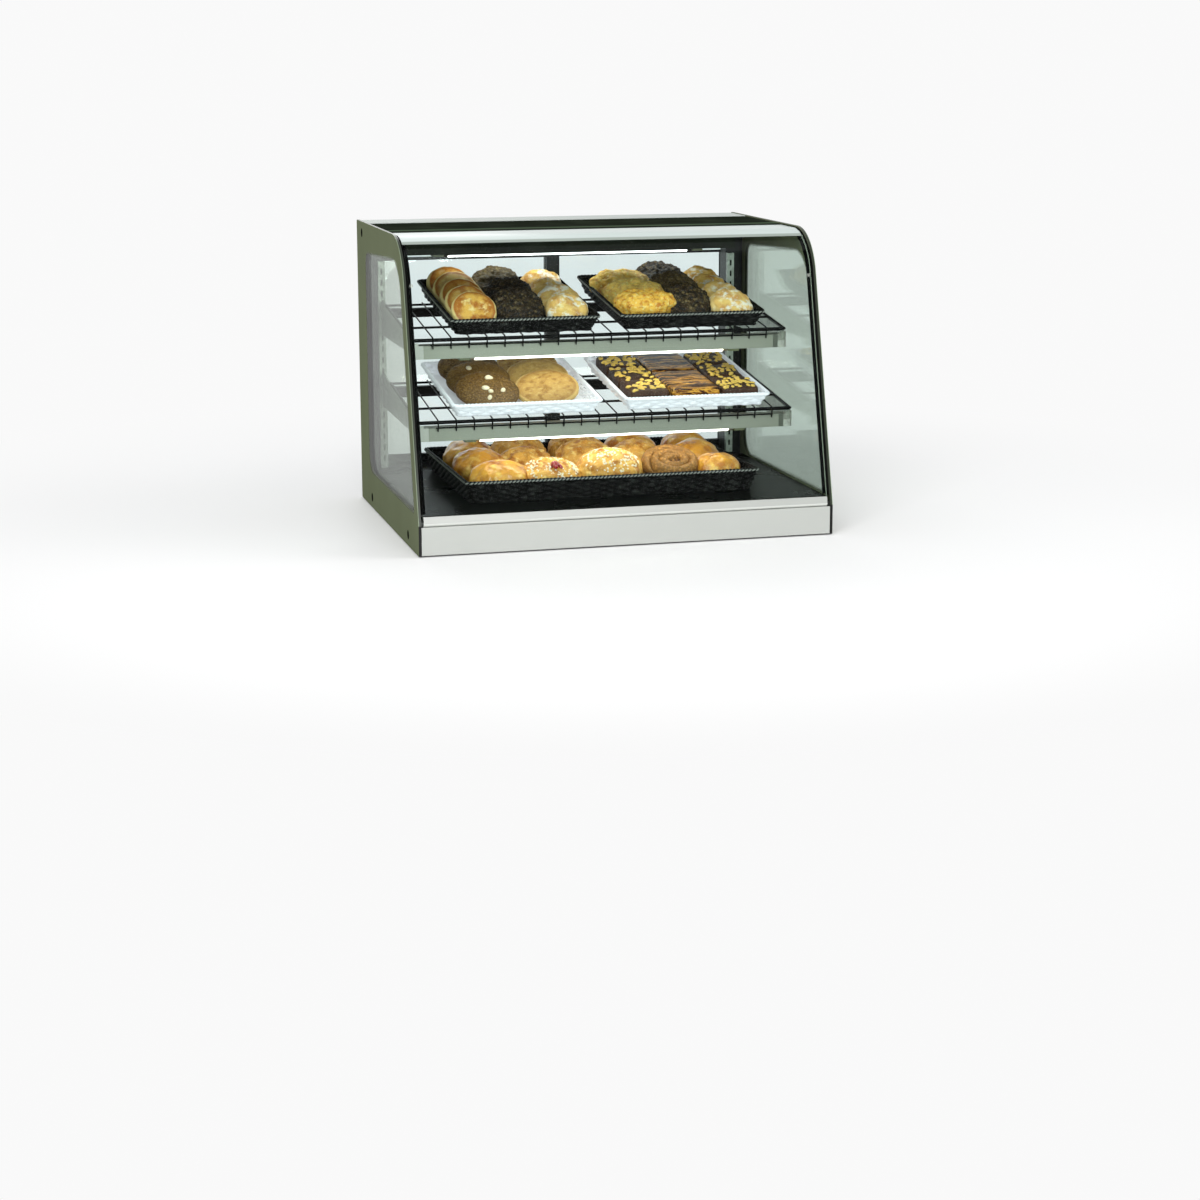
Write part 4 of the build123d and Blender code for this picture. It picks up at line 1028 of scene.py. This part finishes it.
class CASE_OT_fittings(CasePiece, bpy.types.Operator):
    """Give the lamps, seals, screws, switch and other small fittings their finishes"""

    bl_idname = "case.fittings"
    bl_label = "Fittings"

    def execute(self, context):
        give(lamp_finish(), "upper_lamp", "middle_lamp")
        give(coated_lamp_finish(), "canopy_lamp")
        give(plastic_finish("olive_plastic", rgb(92, 98, 62)), "lampholders")
        give(end_cap_finish(), "rail_end_caps")
        give(dark_finish("seal_rubber", rgb(8, 8, 8), 0.56, 0.04 * MM, specular=0.0),
             "left_edge_seal",
             "right_edge_seal", "glazing_channel", "rubber_pads", "lamp_wiring")
        give(dark_finish("screw_black", rgb(10, 10, 9), 0.34, 0.03 * MM, specular=0.0),
             "side_pane_screws")
        give(plastic_finish("black_plastic", rgb(24, 24, 24)), "left_door_pull",
             "right_door_pull", "switch_housing", "cord_inlet")
        give(plastic_finish("rocker_plastic", rgb(40, 40, 40), 0.3), "light_switch_rocker")
        return {"FINISHED"}


class CASE_OT_baskets(CasePiece, bpy.types.Operator):
    """Weave the five cane baskets"""

    bl_idname = "case.baskets"
    bl_label = "Baskets"

    def execute(self, context):
        black = tuple(self.colours.cane)
        white = tuple(self.colours.white_cane)
        # The third colour is the painted highlight; the white cane also glows faintly, as painted
        # light.
        dark = cane_finish("black_cane", black, rgb(166, 168, 160), 0.10)
        pale = cane_finish("white_cane", shaded(white, 0.93), white, 0.3, 0.24)
        for name, shelf, x, size, finish, slot in (
                ("upper_left_basket", UPPER, SMALL_LEFT, SMALL_BASKET, dark, "black_wicker"),
                ("upper_right_basket", UPPER, SMALL_RIGHT, SMALL_BASKET, dark, "black_wicker"),
                ("middle_left_basket", MIDDLE, TRAY_LEFT, TRAY_BASKET, pale, "white_wicker"),
                ("middle_right_basket", MIDDLE, TRAY_RIGHT, TRAY_BASKET, pale, "white_wicker"),
                ("deck_basket", DECK, 0.0, DECK_BASKET, dark, "black_wicker")):
            front = 0.0 if shelf is DECK else BASKET_FRONT
            weave_basket(name, shelf, x, front, size, self.sizes, finish)
        return {"FINISHED"}


class CASE_OT_rolls(CasePiece, bpy.types.Operator):
    """Bake the rolls and chocolate rounds of the upper rack"""

    bl_idname = "case.rolls"
    bl_label = "Upper rack bread"

    def execute(self, context):
        chance = random.Random(11)
        crust = tuple(self.colours.crust)
        golden = crust_finish("golden_crust", crust, rgb(178, 104, 34), rgb(252, 226, 150),
                              gloss=0.25, rim=0.95)
        sugared = crust_finish("sugared_crust", rgb(244, 200, 106), rgb(200, 132, 46),
                               rgb(253, 234, 170), flour=0.45, rim=0.3)
        cheese = crust_finish("cheese_crust", rgb(254, 202, 84), rgb(198, 122, 36),
                              rgb(255, 240, 150), grain=0.5, patch=90.0)
        chocolate = crumbly_finish("chocolate_crust", tuple(self.colours.chocolate),
                                   rgb(116, 98, 62), rgb(20, 15, 9), depth=2.2 * MM)
        roll = self.sizes.roll
        dark = self.sizes.dark_round
        left, right = SMALL_LEFT, SMALL_RIGHT

        def column(name, x, radius, height, rests, lean, finish, slot, node, layers,
                   detail=5, flat=0.8):
            """One bread on each of the places that rests lists from the front."""
            pieces = []
            slope = math.radians(lean)
            for along in rests:
                size = radius * chance.uniform(0.96, 1.04)
                above = FLOOR_TOP - SINK + math.hypot(size * math.sin(slope),
                                                      height * math.cos(slope))
                pieces.append(lump(
                    UPPER, x + chance.uniform(-4, 4) * MM, along, above,
                    (size, size * chance.uniform(0.94, 1.0), height), lean,
                    yaw=chance.uniform(-8, 8), roll=chance.uniform(-5, 5), flat=flat,
                    detail=detail, tone=chance.uniform(0.1, 0.9), layers=layers))
            hand_over(join(pieces, name), finish, node)

        sugared_rests = (0.062, 0.142, 0.222, 0.304)
        gentle = ((0.034, 0.005), (0.010, 0.0020))
        knobbly = ((0.022, 0.010), (0.008, 0.003))
        column("golden_rolls", left - 0.104, roll, 0.0155, (0.062, 0.132, 0.200, 0.262, 0.326),
               41, golden, "golden_crust", "upper_left_rolls", flat=0.6, layers=gentle)
        for name, x, node in (("sugared_rolls_left", left + 0.104, "upper_left_rolls"),
                              ("sugared_rolls_right", right + 0.106, "upper_right_rolls")):
            column(name, x, roll * 0.94, 0.021, sugared_rests, 32, sugared, "golden_crust",
                   node, layers=knobbly)
        coarse = ((0.030, 0.010), (0.011, 0.011), (0.004, 0.004))
        for name, x, node in (("chocolate_rounds_left", left, "upper_left_rolls"),
                              ("chocolate_rounds_right", right + 0.004, "upper_right_rolls")):
            column(name, x, dark, 0.024, (0.080, 0.178, 0.290), 30, chocolate, "brown_crust",
                   node, detail=6, flat=0.74, layers=coarse)
        pieces = []
        for along in (0.074, 0.174, 0.274):
            pieces.append(lump(
                UPPER, right - 0.090 + chance.uniform(-4, 4) * MM, along, 0.040,
                (0.070, 0.044, 0.030), 14, yaw=-12 + chance.uniform(-5, 5), flat=0.8, detail=6,
                tone=chance.uniform(0.2, 0.7),
                layers=((0.026, 0.013), (0.010, 0.006), (0.004, 0.002))))
        hand_over(join(pieces, "cheese_rolls"), cheese, "upper_right_rolls")
        return {"FINISHED"}


class CASE_OT_cookies(CasePiece, bpy.types.Operator):
    """Bake the cookies of the left middle basket, with their chips"""

    bl_idname = "case.cookies"
    bl_label = "Cookies"

    def execute(self, context):
        chance = random.Random(5)
        brown = crumbly_finish("brown_cookie", tuple(self.colours.cookie), rgb(146, 114, 62),
                               rgb(82, 58, 28), scale=240.0, depth=0.7 * MM)
        golden = crust_finish("golden_cookie", rgb(198, 160, 90), rgb(150, 108, 52),
                              rgb(216, 186, 116), grain=0.8, patch=60.0, rim=0.55)
        chip_finish = icing_finish("white_chip", rgb(246, 232, 196))
        chips = []
        middle, apart, first, pitch, above = -0.185, 0.067, 0.082, 0.094, 0.036
        radii = (self.sizes.cookie, self.sizes.cookie * 0.97, 0.0085)
        for side, name, finish in ((-1, "brown_cookies", brown), (1, "golden_cookies", golden)):
            cookies = []
            for index in range(3):
                where = (middle + side * apart, first + index * pitch, above)
                cookies.append(lump(MIDDLE, *where, radii, 19, yaw=chance.uniform(-20, 20),
                                    flat=0.50, detail=6, tone=(0.75, 0.2, 0.6)[index],
                                    layers=((0.030, 0.002), (0.008, 0.0012), (0.004, 0.0006))))
                if side < 0 and index < 2:
                    chips += scatter(over(MIDDLE, *where, radii, 19, reach=0.6, sink=-0.001),
                                     (6, 3)[index], (0.0078, 0.0064, 0.0052), chance)
            hand_over(join(cookies, name), finish, "middle_left_cookies")
        chips = join(chips, "white_chips")
        smooth(chips)
        hand_over(chips, chip_finish, "middle_left_cookies")
        return {"FINISHED"}


class CASE_OT_bars(CasePiece, bpy.types.Operator):
    """Bake the nut bars and the caramel bars of the right middle basket"""

    bl_idname = "case.bars"
    bl_label = "Bars"

    def execute(self, context):
        chance = random.Random(23)
        chocolate = crumbly_finish("chocolate_bar", rgb(48, 30, 20), rgb(80, 52, 34),
                                   rgb(24, 15, 10), scale=220.0, depth=0.8 * MM)
        swirl = swirl_finish()
        nut_finish = icing_finish("chopped_nut", rgb(240, 200, 92), 0.45, 0.1)
        height = 0.034
        nut_bar, caramel_bar = (0.086, 0.100, height), (0.112, 0.160, height)
        nuts, bars, caramel = [], [], []
        for column in (-0.104, 0.104):
            for row in range(3):
                where = (TRAY_RIGHT + column, 0.070 + row * 0.106, 0.005 + height / 2)
                bars.append(slab(MIDDLE, *where, nut_bar, chance.uniform(-3, 3)))
                nuts += scatter(bar_top(MIDDLE, *where, nut_bar), 40,
                                (0.0070, 0.0046, 0.0036), chance)
        for row in range(2):
            where = (TRAY_RIGHT, 0.100 + row * 0.164, 0.006 + height / 2)
            caramel.append(slab(MIDDLE, *where, caramel_bar, chance.uniform(-2, 2)))
        hand_over(join(bars, "nut_bars"), chocolate, "middle_right_bar_cakes")
        hand_over(join(caramel, "caramel_bars"), swirl, "middle_right_bar_cakes")
        nuts = join(nuts, "chopped_nuts")
        smooth(nuts)
        hand_over(nuts, nut_finish, "middle_right_bar_cakes")
        return {"FINISHED"}


class CASE_OT_pastries(CasePiece, bpy.types.Operator):
    """Bake the pastries of the deck basket"""

    bl_idname = "case.pastries"
    bl_label = "Pastries"

    def execute(self, context):
        chance = random.Random(8)
        glazed = crust_finish("glazed_crust", rgb(222, 158, 54), rgb(168, 98, 24),
                              rgb(242, 200, 98), grain=0.25, gloss=0.6, patch=26.0, rough=0.26)
        flaky = crust_finish("flaky_crust", rgb(226, 170, 76), rgb(172, 108, 36),
                             rgb(246, 214, 128), grain=0.9, gloss=0.2)
        spiral = crumbly_finish("spiral_crust", rgb(104, 62, 26), rgb(184, 132, 66),
                                rgb(44, 22, 8), scale=170.0, depth=1.6 * MM)
        crumb_finish = icing_finish("pale_crumb", rgb(252, 240, 210), 0.6, 0.0)
        cherry_finish = icing_finish("cherry_filling", rgb(168, 26, 30), 0.15, 0.8)
        glazed_buns, flaky_buns, crumbs, coils, cherries = [], [], [], [], []

        def bun(group, x, along, above, radii, **more):
            group.append(lump(DECK, x, along, above, radii, **more))

        soft = ((0.040, 0.012), (0.012, 0.003))
        for x, along, above, radii, lean, yaw in (
                (-0.240, 0.085, 0.040, (0.066, 0.052, 0.036), 20, -24),
                (-0.205, 0.098, 0.034, (0.052, 0.040, 0.032), 14, 28),
                (-0.252, 0.215, 0.044, (0.062, 0.056, 0.040), 16, 0),
                (0.262, 0.090, 0.038, (0.052, 0.050, 0.034), 18, 14)):
            bun(glazed_buns, x, along, above, radii, lean=lean, yaw=yaw, detail=6, layers=soft)
        for x, along, width in ((0.246, 0.215, 0.060), (-0.250, 0.345, 0.060),
                                (0.130, 0.350, 0.062), (0.262, 0.345, 0.058)):
            bun(glazed_buns, x, along, 0.044, (width, width * 0.9, 0.040), lean=14, layers=soft)
        front_row = 0.15
        for x, along, width, height in (
                (-0.124, 0.086, 0.070, 0.034), (0.012, 0.090, 0.074, 0.042),
                (-0.150, 0.220, 0.066, 0.038), (-0.010, 0.225, 0.068, 0.042),
                (0.108, 0.222, 0.062, 0.040), (-0.135, 0.350, 0.064, 0.042),
                (0.000, 0.352, 0.064, 0.042)):
            where, radii = (x, along, 0.006 + height), (width, width * 0.86, height)
            bun(flaky_buns, *where, radii, lean=18, detail=6,
                layers=((0.030, 0.012), (0.009, 0.005)))
            if along < front_row:
                crumbs += scatter(over(DECK, *where, radii, 18, reach=0.86, sink=0.0005), 260,
                                  (0.0034, 0.0026, 0.0020), chance, 1)
        cherries += scatter(over(DECK, -0.118, 0.066, 0.040, (0.018, 0.018, 0.036), 18,
                                 reach=0.8, sink=0.002), 12, (0.0075, 0.0065, 0.0055), chance)

        turns, steps, rope = 2.6, 110, 0.0125
        inner, outer = 0.010, 0.060
        path, widths = [], []
        for step in range(steps + 1):
            share = step / steps
            angle = 2 * math.pi * turns * share
            away = inner + (outer - inner) * share
            path.append(Vector((away * math.cos(angle), away * math.sin(angle) * 0.9, 0)))
            widths.append(rope * math.sin(math.pi * min(share * 6 + 0.02, 0.5))
                          * math.sin(math.pi * min((1 - share) * 8 + 0.001, 0.5)))
        coil = tube(path, widths)
        coil.data.transform(
            Matrix.Translation(DECK.at(0.154, 0.090, 0.052))
            @ Matrix.Rotation(math.radians(24), 4, "X") @ Matrix.Diagonal((1, 1, 1.7, 1)))
        lumpy(coil, (0.012, 0.004), (0.004, 0.0015))
        smooth(coil)
        coils.append(coil)
        bun(coils, 0.154, 0.092, 0.036, (0.062, 0.052, 0.026), lean=22, detail=6, layers=soft)

        hand_over(join(glazed_buns, "glazed_buns"), glazed, "deck_buns")
        hand_over(join(flaky_buns, "flaky_buns"), flaky, "deck_buns")
        hand_over(join(coils, "spiral_roll"), spiral, "deck_buns")
        for pieces, name, finish in ((crumbs, "sugar_crumbs", crumb_finish),
                                     (cherries, "cherry_filling", cherry_finish)):
            joined = join(pieces, name)
            smooth(joined)
            hand_over(joined, finish, "deck_buns")
        return {"FINISHED"}


class CASE_OT_stage(CasePiece, bpy.types.Operator):
    """Set the floor, the lights, the sky and the camera"""

    bl_idname = "case.stage"
    bl_label = "Stage"

    def execute(self, context):
        settle()
        bpy.ops.mesh.primitive_plane_add(size=60.0, location=(0, 18.0, -0.0005))
        floor = bpy.context.object
        floor.name = floor.data.name = "floor"
        apply_place(floor)
        paint = Paint("pale_floor")
        cloud = paint.noise(0.6, 2.0)
        fine = paint.noise(260.0, 2.0)
        shade = paint.mix(cloud * 0.5 + fine * 0.2, rgb(244, 244, 243), rgb(232, 232, 232))
        x, y = paint.axes("XY")
        away = (x * x + y * y).root().step(0.75, 1.9)
        near = paint.solid(shade, 0.60 + fine * 0.05, specular=0.2)
        far = paint.node("Emission", {"Color": (1.0, 1.0, 1.0), "Strength": 0.95})
        floor.data.materials.append(paint.done(paint.blend(away, near, far)))

        world = bpy.data.worlds.new("studio")
        bpy.context.scene.world = world
        sky = Paint("studio", world)
        seen = sky.ray("Camera").most(sky.ray("Transmission")).most(sky.ray("Glossy"))
        lit = sky.node("Background", {"Color": (0.97, 0.985, 1.0), "Strength": 0.55})
        shown = sky.node("Background", {"Color": (1.0, 1.0, 1.0), "Strength": 0.95})
        sky.done(sky.blend(seen, lit, shown))

        for name, place, target, size, energy in (
                ("front_light", (-1.8, -3.4, 3.2), (0, 0, 0.3), 2.6, 125.0),
                ("low_light", (0.2, -3.6, 0.55), (0, 0, 0.3), 0.9, 42.0),
                ("right_light", (3.4, -1.2, 2.6), (0, 0, 0.3), 2.2, 45.0),
                ("rear_light", (-0.6, 3.4, 2.6), (0, 0, 0.4), 3.0, 40.0)):
            settle()
            bpy.ops.object.light_add(type="AREA", location=place)
            light = bpy.context.object
            light.name = light.data.name = name
            light.data.shape = "SQUARE"
            light.data.size = size
            light.data.energy = energy
            light.rotation_euler = (Vector(target) - Vector(place)).to_track_quat(
                "-Z", "Y").to_euler()

        settle()
        bpy.ops.object.camera_add()
        camera = bpy.context.object
        camera.name = camera.data.name = "front_camera"
        camera.data.sensor_width = SENSOR_WIDTH
        camera.data.lens = SENSOR_WIDTH * CAMERA_FOCUS / FRAME_SIZE
        camera.data.shift_x, camera.data.shift_y = CAMERA_SHIFT
        camera.data.clip_end = 200.0
        camera.matrix_world = (
            Matrix.Translation(CAMERA_PLACE) @ Matrix.Rotation(-CAMERA_YAW, 4, "Z")
            @ Matrix.Rotation(math.pi / 2 - CAMERA_PITCH, 4, "X")
            @ Matrix.Rotation(CAMERA_ROLL, 4, "Z"))
        bpy.context.scene.camera = camera
        bpy.context.scene.view_settings.view_transform = "Standard"
        return {"FINISHED"}


OPERATORS = (CASE_OT_glass, CASE_OT_metalwork, CASE_OT_fittings, CASE_OT_baskets, CASE_OT_rolls,
             CASE_OT_cookies, CASE_OT_bars, CASE_OT_pastries, CASE_OT_stage)


class CASE_PT_panel(bpy.types.Panel):
    """Sizes, colours and steps of the display case"""

    bl_idname = "CASE_PT_panel"
    bl_label = "Display Case"
    bl_space_type = "VIEW_3D"
    bl_region_type = "UI"
    bl_category = "Display Case"

    def draw(self, context):
        column = self.layout.column()
        for group in (context.scene.case_colours, context.scene.case_sizes):
            for key in group.__annotations__:
                column.prop(group, key)
        for operator in OPERATORS:
            column.operator(operator.bl_idname)


CLASSES = (CaseColours, CaseSizes) + OPERATORS + (CASE_PT_panel,)


def register():
    for item in CLASSES:
        bpy.utils.register_class(item)
    bpy.types.Scene.case_colours = bpy.props.PointerProperty(type=CaseColours)
    bpy.types.Scene.case_sizes = bpy.props.PointerProperty(type=CaseSizes)


def unregister():
    del bpy.types.Scene.case_colours
    del bpy.types.Scene.case_sizes
    for item in reversed(CLASSES):
        bpy.utils.unregister_class(item)


def main():
    register()
    for operator in OPERATORS:
        getattr(bpy.ops.case, operator.bl_idname.split(".")[1])()


if __name__ == "__main__":
    main()
